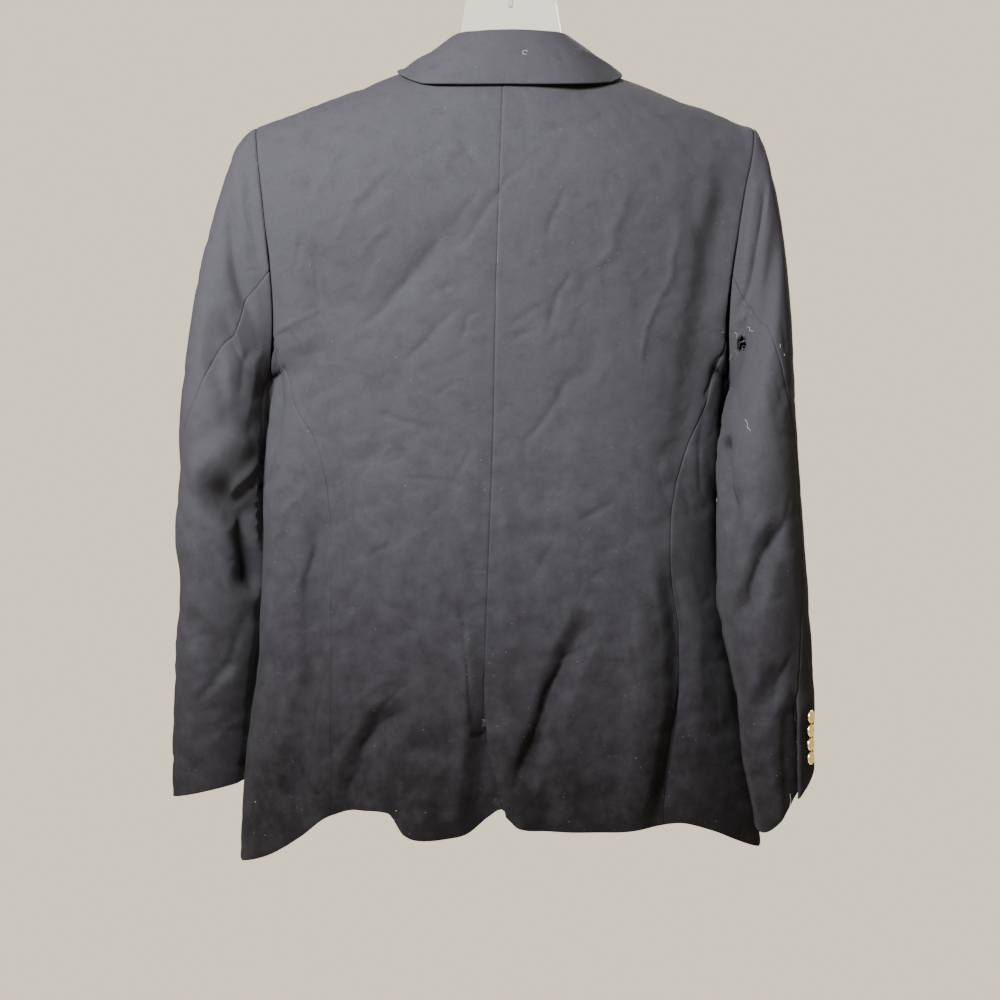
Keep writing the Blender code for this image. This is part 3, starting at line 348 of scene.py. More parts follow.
    def point(self, back: Array, u: Array, share: Array) -> Array:
        """Points of the body's outside.

        Args:
            back: whether they lie on the back.
            u: place across, from the left side (-1) to the right (+1).
            share: place up, from the hem (0) to the neck and shoulder line (1).

        Returns:
            One point for each place.
        """
        back, u, share = spread(back, u, share)
        left = u < 0.0
        level = mix(self.hem_level, self.tip_level, share)
        x = np.abs(u) * self.side_x(share, left)
        z = self.height(back, u, share)
        sign, edge = np.where(back, -1.0, 1.0), np.where(left, -1.0, 1.0)
        edge_z, tip_z = self.height(back, edge, share), self.height(back, edge, 1.0)
        rolled = np.clip((share - self.roll_from) / (1.0 - self.roll_from), 0.0, 1.0)
        roll = np.sqrt(np.maximum(0.0, 1.0 - rolled ** 2))
        middle_z, half_z = (tip_z + self.armpit) / 2.0, (tip_z - self.armpit) / 2.0
        round_arm = np.clip((edge_z - middle_z) / half_z, -1.0, 1.0)
        open_arm = 1.0 - round_arm ** 2
        low_arm = np.where(round_arm < 0.0, open_arm ** 2, np.sqrt(open_arm))
        shape = mix(low_arm, np.sqrt(open_arm), smooth((np.abs(u) - 0.55) / 0.40))
        side_y = sign * self.arm_depth * shape / np.maximum(roll, 0.02)
        deep = np.where(back, self.levels.at("back", level), self.levels.at("front", level))
        tube = np.sqrt(np.maximum(0.0, 1.0 - np.abs(u) ** 2.6))
        blade = 1.0 - np.abs(u) ** 3
        section = side_y + (deep - side_y) * mix(tube, blade, smooth((level + 0.45) / 0.09))
        ridge = self.top_line.at("depth", self.out(back, u))
        y = mix(ridge, section, roll)
        push = np.zeros(x.shape)
        for fold in self.folds:
            gap, place = near_path(fold.path, x, z)
            bump = fold.depth * fold_bump(gap, fold.half, place)
            push += np.where(back == (fold.face == "back"), bump, 0.0)
        lean = np.abs(u) ** 5
        return stack(x + push * np.copysign(lean, u), y + sign * push * (1.0 - lean), z)

    def normal(self, back: Array, u: Array, share: Array) -> Array:
        """Outward normals, the same for both pieces that meet at a seam."""
        back, u, share = spread(back, u, share)
        angle = np.arcsin(np.clip(u, -1.0, 1.0))
        pit = np.where(u < 0.0, *(self.armhole_share(edge, self.armpit) for edge in (-1.0, 1.0)))
        open_side = share >= pit - 1e-6

        def wrapped(turn: Array, height: Array) -> Array:
            """Point at a turn about the body, carried over its side and its top."""
            over = np.abs(turn) > np.pi / 2.0
            flip = over & ~open_side
            stopped, past_side = np.copysign(np.pi / 2.0, turn), np.copysign(np.pi, turn) - turn
            turn = np.where(over, np.where(open_side, stopped, past_side), turn)
            past = height > 1.0
            height = np.maximum(np.where(past, 2.0 - height, height), 0.0)
            return self.point(back ^ flip ^ past, np.sin(turn), height)

        across = wrapped(angle + 0.03, share) - wrapped(angle - 0.03, share)
        up = wrapped(angle, share + 0.01) - wrapped(angle, share - 0.01)
        return unit(np.cross(across, up)) * np.where(back, 1.0, -1.0)[..., None]

    def u_of(self, x: Array, share: Array) -> Array:
        """u of a place across."""
        left = np.asarray(x) < 0.0
        return np.abs(x / self.side_x(share, left)) * np.where(left, -1.0, 1.0)

    def on_body(self, back: Array, x: Array, z: Array,
                lift: Array | float = 0.0) -> tuple[Array, Array]:
        """Points on the body, seen from behind or from the front.

        Args:
            back: whether they lie on the back.
            x: how far across.
            z: how high.
            lift: how far they are moved out.

        Returns:
            The points and their normals.
        """
        back, x, z = spread(back, x, z)
        share = np.full(x.shape, 0.5)
        for _ in range(6):
            u = np.clip(self.u_of(x, share), -0.999, 0.999)
            low, high = self.height(back, u, 0.0), self.height(back, u, 1.0)
            share = np.clip((z - low) / (high - low), 0.0, 0.999)
        normal = self.normal(back, u, share)
        return self.point(back, u, share) + normal * np.asarray(lift)[..., None], normal

    def seam_u(self, name: str, share: Array, guess: float, flip: float = 1.0) -> Array:
        """u of a seam at shares of the height."""
        z = self.height(name != "side_front", guess, share)
        return self.u_of(flip * getattr(self, name).at("across", z), share)

    def outer_u(self, side: Side, share: Array, front: bool = False) -> Array:
        """A panel's outer border: its side seam, then the armhole.

        Args:
            side: side of the jacket.
            share: shares of the height.
            front: whether it is a front panel.

        Returns:
            One u for each share.
        """
        edge = side.edge
        meet = self.armhole_share(edge, self.seam_end)
        name = "side_front" if front else f"side_back_{side.value}"
        seam = self.seam_u(name, share, edge * 0.8, edge if front else 1.0)
        last_tenth = np.clip(10.0 * share / meet - 9.0, 0.0, 1.0)
        lower = mix(np.clip(seam, -0.97, 0.97), edge, last_tenth ** 1.5)
        return np.where(share >= meet, edge, lower)

    def lap_at_vent(self, points: Array, side: Side) -> Array:
        """Below the centre seam the right back stands off and the left one sinks under it."""
        reach = smooth((self.vent_top + 0.012 - points[..., 2]) / 0.024)
        near = smooth(1.0 - (np.abs(points[..., 0]) - 0.045) / 0.040)
        lift = self.vent_lift * reach * near * side.edge
        for fold in self.vent_folds:
            if fold.face == side.value:
                gap, place = near_path(fold.path, points[..., 0], points[..., 2])
                lift = lift + fold.depth * fold_bump(gap, fold.half, place)
        moved = points.copy()
        moved[..., 1] -= lift
        return moved

    def front_x(self, side: Side, z: Array) -> Array:
        """Where the front edge runs: the roll line, then straight down to the rounded hem."""
        return self.middle + side.edge * self.front_edge.at("across", z)

    def front_lift(self, side: Side, x: Array) -> Array:
        """The right front laps over the left one."""
        lapping = 0.0 if side is Side.LEFT else 1.0
        return self.front_lap * smooth(1.0 - (x - 0.022) / 0.040) * lapping

    def armhole_point(self, side: Side, turn: Array) -> Array:
        """Points of the armhole's edge; turn 0 is the tip, 90 the back, 180 the armpit."""
        edge = side.edge
        back = turn <= 180.0
        tip_z = self.height(True, edge, 1.0)
        z = mix(self.armpit, tip_z, 0.5 + 0.5 * np.cos(np.radians(turn)))
        low = self.height(back, edge, 0.0)
        return self.point(back, edge, np.clip((z - low) / (tip_z - low), 0.0, 1.0))

    def arm_normal(self, side: Side, points: Array, own: Array) -> Array:
        """Normals shared by body and sleeve along the upper armhole."""
        middle_z = (self.armpit + self.tip_level) / 2.0
        up = np.clip((points[..., 2] - middle_z) / (self.tip_level - middle_z), -1.0, 1.0)
        aside = side.edge * 0.45 * np.maximum(up, 0.0)
        shared = unit(stack(aside, points[..., 1] / self.arm_depth, up))
        weight = smooth((up + 0.2) / 0.4)[..., None]
        return unit(own * (1.0 - weight) + shared * weight)


# ---- the sleeves' form ----
@dataclass(frozen=True)
class SleeveForm:
    """Outside of one sleeve; the same named sizes as the solids."""

    body: BodyForm
    side: Side
    rings: Table
    folds: tuple
    elbow_seam: Table = Table(    # degrees round the ring from its outer point
        "along left right", (0.00, 102.0, 104.0), (0.08, 108.0, 112.0), (0.17, 113.0, 104.0),
        (0.28, 98.0, 82.0), (0.39, 74.0, 50.0), (0.47, 42.0, 30.0), (0.60, 14.0, 27.0),
        (0.80, 6.0, 41.0), (1.00, 6.0, 45.0))
    forearm_seam: Table = Table(
        "along left right", (0.00, 225.0, 225.0), (0.50, 232.0, 232.0), (1.00, 236.0, 236.0))
    length: float = 0.62         # along the arm
    per_degree: float = 0.0009   # girth for each degree of turn
    cuff_vent: float = 0.84
    vent_turn: float = 16.0
    beside: float = 0.0050
    arm_slit: float = 0.0006
    cap_puff: float = 0.0035

    def point(self, q: Array, turn: Array) -> Array:
        """Points of the sleeve's outside.

        Args:
            q: place along the sleeve, from the armhole (0) to the cuff (1).
            turn: place round its ring, in degrees from the outer point towards the back.

        Returns:
            One point for each place.
        """
        q, turn = np.broadcast_arrays(np.asarray(q, float), np.asarray(turn, float) % 360.0)
        edge, rings = self.side.edge, self.rings
        first = rings.columns["along"][0]
        ring = {name: rings.at(name, np.maximum(q, first)) for name in rings.columns}
        cosine, sine = np.cos(np.radians(turn)), np.sin(np.radians(turn))
        share = 0.5 + 0.5 * cosine
        depth = (ring["front"] - ring["back"]) / 2.0
        x = mix(ring["inner_x"], ring["outer_x"], share) + ring["skew"] * sine * edge
        z = mix(ring["inner_z"], ring["outer_z"], share) - ring["lean"] / 2.0 * sine
        y = (ring["front"] + ring["back"]) / 2.0 - depth * np.copysign(np.abs(sine) ** 0.9, sine)
        points = stack(x, y, z)
        middle = stack((ring["inner_x"] + ring["outer_x"]) / 2.0,
                       (ring["front"] + ring["back"]) / 2.0, z)
        push = np.zeros(q.shape)
        for path, half, deep in self.folds:
            flat = [(a * self.length, b * self.per_degree) for a, b in path]
            gap, place = near_path(flat, q * self.length, turn * self.per_degree)
            push += deep * fold_bump(gap, half, place)
        points = points + unit(points - middle) * push[..., None]
        points[..., 0] = self.beside_body(points)
        start = self.body.armhole_point(self.side, turn)
        start[..., 0] += edge * self.arm_slit
        part = np.clip(q / first, 0.0, 1.0)[..., None]
        puff = self.cap_puff * 4.0 * part * (1.0 - part) * np.maximum(cosine, 0.0)[..., None]
        capped = mix(start, points, part) + puff * np.array((edge * 0.7, 0.0, 0.7))
        return np.where(part < 1.0, capped, points)

    def beside_body(self, points: Array) -> Array:
        """x of the sleeve's points, pressed flat where they would come too near the body."""
        body, left = self.body, self.side is Side.LEFT
        y, z = points[..., 1], points[..., 2]
        share = np.clip((z - body.hem_level) / (body.tip_level - body.hem_level), 0.0, 1.0)
        deep = np.where(y < 0.0, *(body.levels.at(name, z) for name in ("back", "front")))
        reach = np.maximum(0.0, 1.0 - (y / deep) ** 2) ** (1.0 / 2.6)
        gap = self.beside * smooth((body.armpit + 0.01 - z) / 0.03)
        near = np.abs(body.side_x(share, left)) * reach + gap
        pressed = self.side.edge * np.maximum(self.side.edge * points[..., 0], near)
        return np.where(z > body.armpit + 0.01, points[..., 0], pressed)

    def normal(self, q: Array, turn: Array) -> Array:
        """Outward normals, the same for both pieces that meet at a seam."""
        around = self.point(q, turn + 4.0) - self.point(q, turn - 4.0)
        ahead, behind = np.minimum(q + 0.01, 1.0), np.maximum(q - 0.01, 0.0)
        down = self.point(ahead, turn) - self.point(behind, turn)
        return unit(np.cross(around, down)) * self.side.edge


# ---- creases ----
@dataclass
class Relief:
    """Creases and rumple pressed into one part of the garment."""

    seen: tuple
    hidden: tuple
    seed: int
    rumple_coarse: float = 0.35
    rumple_fine: float = 0.16
    wrinkles: tuple = ((0.055, 1.20), (0.034, 0.85), (0.020, 0.42))   # size in m, depth in mm
    press_in: float = 0.78   # share of a crease's depth that the cloth takes
    broad: float = 7.95      # creases with a larger half width are soft and even

    def depth(self, points: Array, normals: Array) -> Array:
        """How far the cloth stands out (+) or sinks (-), in metres.

        Args:
            points: points of the smooth form.
            normals: their outward normals.

        Returns:
            One depth for each point.
        """
        noise = Rumple(self.seed)
        warp = noise(points, 0.020) * 1.5 + noise(points + 0.4, 0.007) * 0.5
        slip = noise(points + 0.9, 0.022) * 1.5 + noise(points + 1.3, 0.008) * 0.5
        plain = points[..., 0] / MM, points[..., 2] / MM
        x, z = plain[0] + warp, plain[1] + slip
        wide = 1.0 + 0.35 * noise(points + 2.1, 0.016)
        facing = -normals[..., 1]
        total = (self.rumple_coarse * noise(points + 3.3, 0.030)
                 + self.rumple_fine * noise(points + 4.7, 0.012))
        lean = stack(points[..., 0] + 0.6 * points[..., 2], points[..., 1],
                     points[..., 2] - 0.4 * points[..., 0])
        for size, deep in self.wrinkles:
            here = smooth((noise(points + 6.0 + size, 0.060) + 0.45) / 0.6)
            line = np.maximum(0.0, 1.0 - np.abs(noise(lean + 5.0 + size, size)) / 0.40)
            total -= deep * here * line
        for table, weight in ((self.seen, smooth((facing - 0.12) / 0.33)),
                              (self.hidden, smooth((-facing - 0.12) / 0.33))):
            part = np.zeros(x.shape)
            for crease in table:
                broad = crease.half > self.broad
                gap, place = near_path(crease.path, *(plain if broad else (x, z)))
                g = gap / (0.68 * crease.half * (1.0 if broad else wide))
                shape = np.exp(-g * g)
                if not broad:
                    shape = 0.45 * (1.0 - 0.6 * g * g) * shape + 0.6 * np.exp(-1.3 * g)
                ends = smooth(4.0 * place) * smooth(4.0 - 4.0 * place)
                part += self.press_in * crease.depth * shape * ends
            total = total + part * weight
        return total * MM


def hidden_creases(rows: tuple, every: int, shift: float) -> tuple:
    """Creases of the side that the photograph hides, like those of the side that it shows.

    Args:
        rows: creases of the side that shows.
        every: one in this many is left out.
        shift: how much lower they lie, in millimetres.

    Returns:
        The crease rows, mirrored, moved and a little softer.
    """
    made = []
    for number, row in enumerate(rows):
        if number % every == 0:
            continue
        slide = shift + 9.0 * math.sin(number * 2.4)
        path = tuple((-x * 0.97, z + slide) for x, z in row.path)
        made.append(Crease(row.half * 1.15, row.depth * 0.8, path))
    return tuple(made)


# ---- cloth pieces ----
@dataclass
class Cloth:
    """One cut piece of cloth as a closed thin wall through a fine grid of points."""

    name: str
    outer: Array
    normals: Array
    wall: Array | float = WALL
    borders: tuple = (Border.SEAM,) * 4    # first and last column, first and last row
    keep: Array | None = None
    edge_share: Array | None = None      # how much of the first column's seam is a free edge

    def arcs(self) -> tuple[Array, Array]:
        """Running lengths across and along the grid, in metres."""
        runs = []
        for axis in (1, 0):
            size = np.linalg.norm(np.diff(self.outer, axis=axis), axis=-1)
            start = np.zeros_like(self.outer.take([0], axis=axis)[..., 0])
            runs.append(np.concatenate([start, np.cumsum(size, axis=axis)], axis=axis))
        return runs[0], runs[1]

    def finish_borders(self) -> tuple[Array, Array]:
        """Sinks the seams, puffs the cloth beside them and rounds the free edges.

        Returns:
            The distance to the nearest border, and the inner points.
        """
        across, along = self.arcs()
        gaps = (across, across[:, -1:] - across, along, along[-1:] - along)
        move, thin = np.zeros(across.shape), np.zeros(across.shape)
        nearest = np.full(across.shape, 0.03)
        for number, (border, gap) in enumerate(zip(self.borders, gaps)):
            if border is Border.HIDDEN:
                continue
            loose = np.ones(across.shape) if border is Border.EDGE else np.zeros(across.shape)
            if number == 0 and self.edge_share is not None:
                loose = np.broadcast_to(self.edge_share[:, None], across.shape)
            seam = -0.62 * hump(gap, 0.0, 0.0008) + 0.10 * hump(gap, 0.0042, 0.0026)
            free = 0.22 * hump(gap, 0.0040, 0.0035)
            move += mix(seam, free, loose) * MM
            curl = 1.0 - np.sqrt(np.maximum(0.0, 1.0 - np.clip(1.0 - gap / 0.0011, 0.0, 1.0) ** 2))
            thin = np.maximum(thin, curl * loose)
            nearest = np.minimum(nearest, gap)
        half = np.asarray(self.wall) * 0.46 * thin
        inner = self.outer + self.normals * (move - self.wall + half)[..., None]
        self.outer = self.outer + self.normals * (move - half)[..., None]
        return nearest, inner

    def draw_in(self) -> None:
        """Draws the border in by half a slit, so that neighbours keep clear of each other."""
        grid = self.outer
        moved = grid.copy()
        for rim, beside in ((0, 1), (-1, -2)):
            moved[:, rim] += unit(grid[:, beside] - grid[:, rim]) * SLIT / 2.0
        for rim, beside in ((0, 1), (-1, -2)):
            moved[rim] += unit(grid[beside] - grid[rim]) * SLIT / 2.0
        self.outer = moved

    def build(self, finishes: Sequence[Material]) -> Piece:
        """Makes the mesh object.

        Args:
            finishes: the outside's material, then the inside's.

        Returns:
            The cloth piece, with a UV map in metres and the distance to its borders.
        """
        self.draw_in()
        nearest, inner = self.finish_borders()
        outer, rows, cols = self.outer, self.outer.shape[0], self.outer.shape[1]
        over = np.cross(outer[1:, 1:] - outer[:-1, :-1], outer[1:, :-1] - outer[:-1, 1:])
        turned = np.sum(over * self.normals[:-1, :-1]) < 0.0
        index = np.arange(rows * cols).reshape(rows, cols)
        a, b, e, d = index[:-1, :-1], index[:-1, 1:], index[1:, 1:], index[1:, :-1]
        keep = np.ones(a.shape, bool) if self.keep is None else self.keep
        ring = np.pad(keep, 1)
        shift = rows * cols
        front = np.stack([a[keep], b[keep], e[keep], d[keep]], axis=1)
        back = np.stack([a[keep], d[keep], e[keep], b[keep]], axis=1) + shift
        rims = []
        for first, second, beyond in ((a, b, ring[:-2, 1:-1]), (e, d, ring[2:, 1:-1]),
                                      (d, a, ring[1:-1, :-2]), (b, e, ring[1:-1, 2:])):
            rim = keep & ~beyond
            near, far = first[rim], second[rim]
            rims.append(np.stack([far, near, near + shift, far + shift], axis=1))
        faces = np.concatenate([front, back] + rims)
        if turned:
            faces = faces[:, ::-1]
        side = np.zeros(len(faces), int)
        side[len(front):len(front) + len(back)] = 1
        used, flat = np.unique(faces, return_inverse=True)
        faces = flat.reshape(faces.shape)
        points = np.concatenate([outer.reshape(-1, 3), inner.reshape(-1, 3)])[used]
        uv = np.concatenate([self.cut_lines().reshape(-1, 2)] * 2)[used]
        edge = np.concatenate([nearest.reshape(-1)] * 2)[used]
        piece = mesh_object(self.name, points, faces, finishes)
        mesh = piece.data
        mesh.polygons.foreach_set("material_index", side)
        layer = mesh.uv_layers.new(name="Cloth")
        layer.data.foreach_set("uv", uv[faces.reshape(-1)].reshape(-1))
        border = mesh.attributes.new("border", "FLOAT", "POINT")
        border.data.foreach_set("value", edge.astype(np.float32))
        mesh.set_sharp_from_angle(angle=math.radians(52.0))
        return piece

    def cut_lines(self) -> Array:
        """UV in metres: across and along the grain."""
        across, along = self.arcs()
        level = np.broadcast_to(along.mean(axis=1, keepdims=True), across.shape)
        return np.stack([across + self.outer[:, :1, 0], level], axis=-1)


def linked(name: str, data: bpy.types.ID) -> Piece:
    """A new object, linked to the scene."""
    piece = bpy.data.objects.new(name, data)
    bpy.context.scene.collection.objects.link(piece)
    return piece


def mesh_object(name: str, points: Array, faces: Array, finishes: Sequence[Material]) -> Piece:
    """A smooth mesh object at the origin.

    Args:
        name: name of the piece.
        points: its points.
        faces: its faces, all of four points.
        finishes: its materials.

    Returns:
        The object, linked to the scene.
    """
    mesh = bpy.data.meshes.new(name)
    mesh.vertices.add(len(points))
    mesh.vertices.foreach_set("co", np.asarray(points, np.float32).reshape(-1))
    mesh.loops.add(faces.size)
    mesh.loops.foreach_set("vertex_index", faces.reshape(-1).astype(np.int32))
    mesh.polygons.add(len(faces))
    starts = np.arange(0, faces.size, faces.shape[1], dtype=np.int32)
    mesh.polygons.foreach_set("loop_start", starts)
    mesh.update(calc_edges=True)
    mesh.validate()
    mesh.polygons.foreach_set("use_smooth", np.ones(len(mesh.polygons), bool))
    for finish in finishes:
        mesh.materials.append(finish)
    return linked(name, mesh)


def steps(length: float, first: bool = True, last: bool = True, spacing: float = STEP) -> Array:
    """Places along a length, closer together beside its borders.

    Args:
        length: how long it is.
        first: whether a border lies at its start.
        last: whether one lies at its end.
        spacing: distance of the places between them.

    Returns:
        The places, from 0 to 1.
    """
    near = np.array(BORDER_ROWS) / length
    start = near if first else near[:1]
    end = 1.0 - (near if last else near[:1])[::-1]
    count = max(2, int(round((end[0] - start[-1]) * length / spacing)))
    return np.concatenate([start[:-1], np.linspace(start[-1], end[0], count + 1), end[1:]])


def between(first: Array, last: Array, places: Array) -> Array:
    """u values from first to last in every row, closer together towards the sides."""
    low, high = np.arcsin(np.clip(first, -1, 1)), np.arcsin(np.clip(last, -1, 1))
    return np.sin(mix(low[:, None], high[:, None], places[None, :]))


def grid_normals(grid: Array, outward: Sequence[float]) -> Array:
    """Normals of a grid of points, turned to the side that outward names."""
    normals = unit(np.cross(np.gradient(grid, axis=1), np.gradient(grid, axis=0)))
    middle = normals[len(grid) // 2, grid.shape[1] // 2]
    return -normals if float(np.dot(middle, outward)) < 0.0 else normals


# ---- finishes ----
def colour(code: str) -> tuple[float, float, float, float]:
    """Linear colour of an sRGB hex value."""
    parts = [int(code[i:i + 2], 16) / 255.0 for i in (1, 3, 5)]
    return (*(p / 12.92 if p <= 0.04045 else ((p + 0.055) / 1.055) ** 2.4 for p in parts), 1.0)


def feed(tree: Tree, node: bpy.types.Node, inputs: dict) -> None:
    """Sets or links a node's inputs: socket name or number, with its value or its source."""
    for name, value in inputs.items():
        if isinstance(value, Socket):
            tree.links.new(value, node.inputs[name])
        else:
            node.inputs[name].default_value = value


def add(tree: Tree, kind: str, inputs: dict, **settings) -> bpy.types.NodeOutputs:
    """Adds a node with its settings, and sets or links its inputs.

    Args:
        tree: tree of the material or the geometry.
        kind: type of the node.
        inputs: socket name or number, with a value or the socket that feeds it.
        settings: properties of the node.

    Returns:
        The new node's outputs.
    """
    node = tree.nodes.new(kind)
    for name, value in settings.items():
        setattr(node, name, value)
    feed(tree, node, inputs)
    return node.outputs


@dataclass(frozen=True)
class Finish:
    """A material, named for what the real one is."""

    name: str
    shade: str

    def make(self) -> Material:
        """The material: its nodes and the main shader's values."""
        made = bpy.data.materials.new(self.name)
        made.use_nodes = True
        tree = made.node_tree
        place = add(tree, "ShaderNodeTexCoord", {})
        values = self.sockets(tree, place["UV"], place["Object"])
        feed(tree, tree.nodes["Principled BSDF"], {"Base Color": colour(self.shade), **values})
        return made

    def sockets(self, tree: Tree, uv: Socket, spot: Socket) -> dict:
        """The main shader's inputs, from the cloth's UV or the place in the object."""
        raise NotImplementedError


@dataclass(frozen=True)
class WorstedTwill(Finish):
    """Fulled worsted twill: fine diagonal lines under a short nap, with painted light that makes it
    paler upwards.
    """

    name: str = "worsted_twill"
    shade: str = "#080708"
    # paler colour: painted light towards the top, and the soft random patches
    painted_light_and_patch_tone: str = "#1a1a1d"
    speck: str = "#403f44"
    rough: float = 0.95
    sheen: float = 0.006
    painted_light_from: float = -0.84    # painted light: the skirt is darkest, the cloth paler upwards
    painted_light_to: float = -0.48
    sleeve_paler: float = 0.20   # and paler on the sleeves
    wave_mm: float = 1.5        # squared, one wave is two twill lines, 0.75 mm apart as woven
    nap_mm: float = 2.6
    crumple_mm: float = 24.0

    def sockets(self, tree: Tree, uv: Socket, spot: Socket) -> dict:
        """Wool paled upwards by painted light, with lint specks, over a bump of crumples, nap and
        twill lines.
        """
        shade = self.tone_with_painted_light(tree, spot)
        grain = self.weave(tree, uv, spot)
        tone = add(tree, "ShaderNodeMapRange", {
            "Value": grain, "From Min": 0.25, "From Max": 0.75, "To Min": 0.50, "To Max": 1.55})[0]
        toned = add(tree, "ShaderNodeVectorMath", {0: shade, "Scale": tone}, operation="SCALE")[0]
        dots = self.specks(tree, spot)
        last = add(tree, "ShaderNodeMix", {
            "Factor": dots, 6: toned, 7: colour(self.speck)}, data_type="RGBA")[2]
        crumple = add(tree, "ShaderNodeTexNoise", {
            "Vector": spot, "Scale": 1000.0 / self.crumple_mm, "Detail": 3.0, "Roughness": 0.55,
            "Distortion": 0.8}, noise_type="RIDGED_MULTIFRACTAL")[0]
        folds = add(tree, "ShaderNodeBump", {
            "Height": crumple, "Strength": 0.60, "Distance": -0.0014})[0]
        bump = add(tree, "ShaderNodeBump", {
            "Height": grain, "Strength": 0.45, "Distance": 0.0006, "Normal": folds})[0]
        return {"Base Color": last, "Normal": bump, "Roughness": self.rough,
                "Sheen Weight": self.sheen, "Sheen Roughness": 0.45, "Specular IOR Level": 0.02}

    def tone_with_painted_light(self, tree: Tree, spot: Socket) -> Socket:
        """Wool's colour in soft patches, with painted light making it paler upwards, and paler on
        the sleeves.
        """
        cloud = add(tree, "ShaderNodeTexNoise", {
            "Vector": spot, "Scale": 60.0, "Detail": 5.0, "Roughness": 0.65})[0]
        where = add(tree, "ShaderNodeSeparateXYZ", {0: spot})
        # painted light: the cloth is made paler with height, darkest at the skirt
        rise = add(tree, "ShaderNodeMapRange", {
            "Value": where[2], "From Min": self.painted_light_from, "From Max": self.painted_light_to})[0]
        patch = add(tree, "ShaderNodeMapRange", {
            "Value": cloud, "From Min": 0.3, "From Max": 0.7, "To Min": -0.18, "To Max": 0.18})[0]
        aside = add(tree, "ShaderNodeMath", {0: where[0]}, operation="ABSOLUTE")[0]
        sleeve = add(tree, "ShaderNodeMapRange", {
            "Value": aside, "From Min": 0.19, "From Max": 0.25, "To Max": self.sleeve_paler})[0]
        # painted light by height, plus the random soft patches
        worn = add(tree, "ShaderNodeMath", {0: rise, 1: patch}, operation="ADD")[0]
        painted_light_and_patches = add(tree, "ShaderNodeMath", {0: worn, 1: sleeve}, operation="ADD", use_clamp=True)[0]
        return add(tree, "ShaderNodeMix", {
            "Factor": painted_light_and_patches, 6: colour(self.shade), 7: colour(self.painted_light_and_patch_tone)}, data_type="RGBA")[2]

    def weave(self, tree: Tree, uv: Socket, spot: Socket) -> Socket:
        """Twill lines along the cut's diagonal, a wave squared, with the nap on top."""
        apart = add(tree, "ShaderNodeSeparateXYZ", {0: uv})
        slant = add(tree, "ShaderNodeMath", {0: apart[0], 1: apart[1]}, operation="ADD")[0]
        pitch = 2.0 * math.pi / (self.wave_mm * MM * 1.414)
        turn = add(tree, "ShaderNodeMath", {0: slant, 1: pitch}, operation="MULTIPLY")[0]
        wave = add(tree, "ShaderNodeMath", {0: turn}, operation="SINE")[0]
        nap = add(tree, "ShaderNodeTexNoise", {
            "Vector": spot, "Scale": 1000.0 / self.nap_mm, "Detail": 5.0, "Roughness": 0.75})[0]
        return add(tree, "ShaderNodeMath", {0: wave, 1: wave, 2: nap}, operation="MULTIPLY_ADD")[0]

    def specks(self, tree: Tree, spot: Socket) -> Socket:
        """Tiny pale dots of lint, in one cell of ten."""
        pills = add(tree, "ShaderNodeTexVoronoi", {"Vector": spot, "Scale": 260.0})
        tiny = add(tree, "ShaderNodeMapRange", {
            "Value": pills["Distance"], "From Min": 0.20, "From Max": 0.10})[0]
        rare = add(tree, "ShaderNodeMapRange", {
            "Value": pills["Color"], "From Min": 0.86, "From Max": 0.92, "To Max": 0.5})[0]
        return add(tree, "ShaderNodeMath", {0: tiny, 1: rare}, operation="MULTIPLY")[0]


@dataclass(frozen=True)
class SatinLining(Finish):
    """Woven viscose lining: smooth and softly shiny, with fine cross lines."""

    name: str = "viscose_lining"
    shade: str = "#24262e"
    rough: float = 0.42

    def sockets(self, tree: Tree, uv: Socket, spot: Socket) -> dict:
        """Cross lines as a faint bump."""
        lines = add(tree, "ShaderNodeTexWave", {"Vector": uv, "Scale": 160.0, "Distortion": 1.5},
                    bands_direction="Y")
        bump = add(tree, "ShaderNodeBump", {
            "Height": lines[1], "Strength": 0.15, "Distance": 0.0003})[0]
        return {"Normal": bump, "Roughness": self.rough}


@dataclass(frozen=True)
class GiltBrass(Finish):
    """Die-struck brass with a thin gilt coat, dulled a little by handling."""

    name: str = "gilt_brass"
    shade: str = "#e2cf8c"
    worn: str = "#b49a5a"
    rough: float = 0.24

    def sockets(self, tree: Tree, uv: Socket, spot: Socket) -> dict:
        """A worn film that changes both tint and gloss."""
        film = add(tree, "ShaderNodeTexNoise", {"Vector": spot, "Scale": 420.0, "Detail": 3.0})[0]
        tint = add(tree, "ShaderNodeMix", {
            "Factor": film, 6: colour(self.shade), 7: colour(self.worn)}, data_type="RGBA")[2]
        gloss = add(tree, "ShaderNodeMapRange", {
            "Value": film, "To Min": self.rough - 0.08, "To Max": self.rough + 0.14})[0]
        return {"Base Color": tint, "Roughness": gloss, "Metallic": 1.0}


@dataclass(frozen=True)
class ClearStyrene(Finish):
    """Injection-moulded clear polystyrene: glassy, with faint flow marks and fine scratches."""

    name: str = "clear_polystyrene"
    shade: str = "#f4f6f5"
    rough: float = 0.06
    ior: float = 1.59

    def sockets(self, tree: Tree, uv: Socket, spot: Socket) -> dict:
        """Flow marks as a faint bump on clear plastic."""
        flow = add(tree, "ShaderNodeTexNoise", {"Vector": spot, "Scale": 60.0, "Detail": 2.0})[0]
        bump = add(tree, "ShaderNodeBump", {
            "Height": flow, "Strength": 0.10, "Distance": 0.001})[0]
        return {"Normal": bump, "Roughness": self.rough, "IOR": self.ior,
                "Transmission Weight": 0.96}


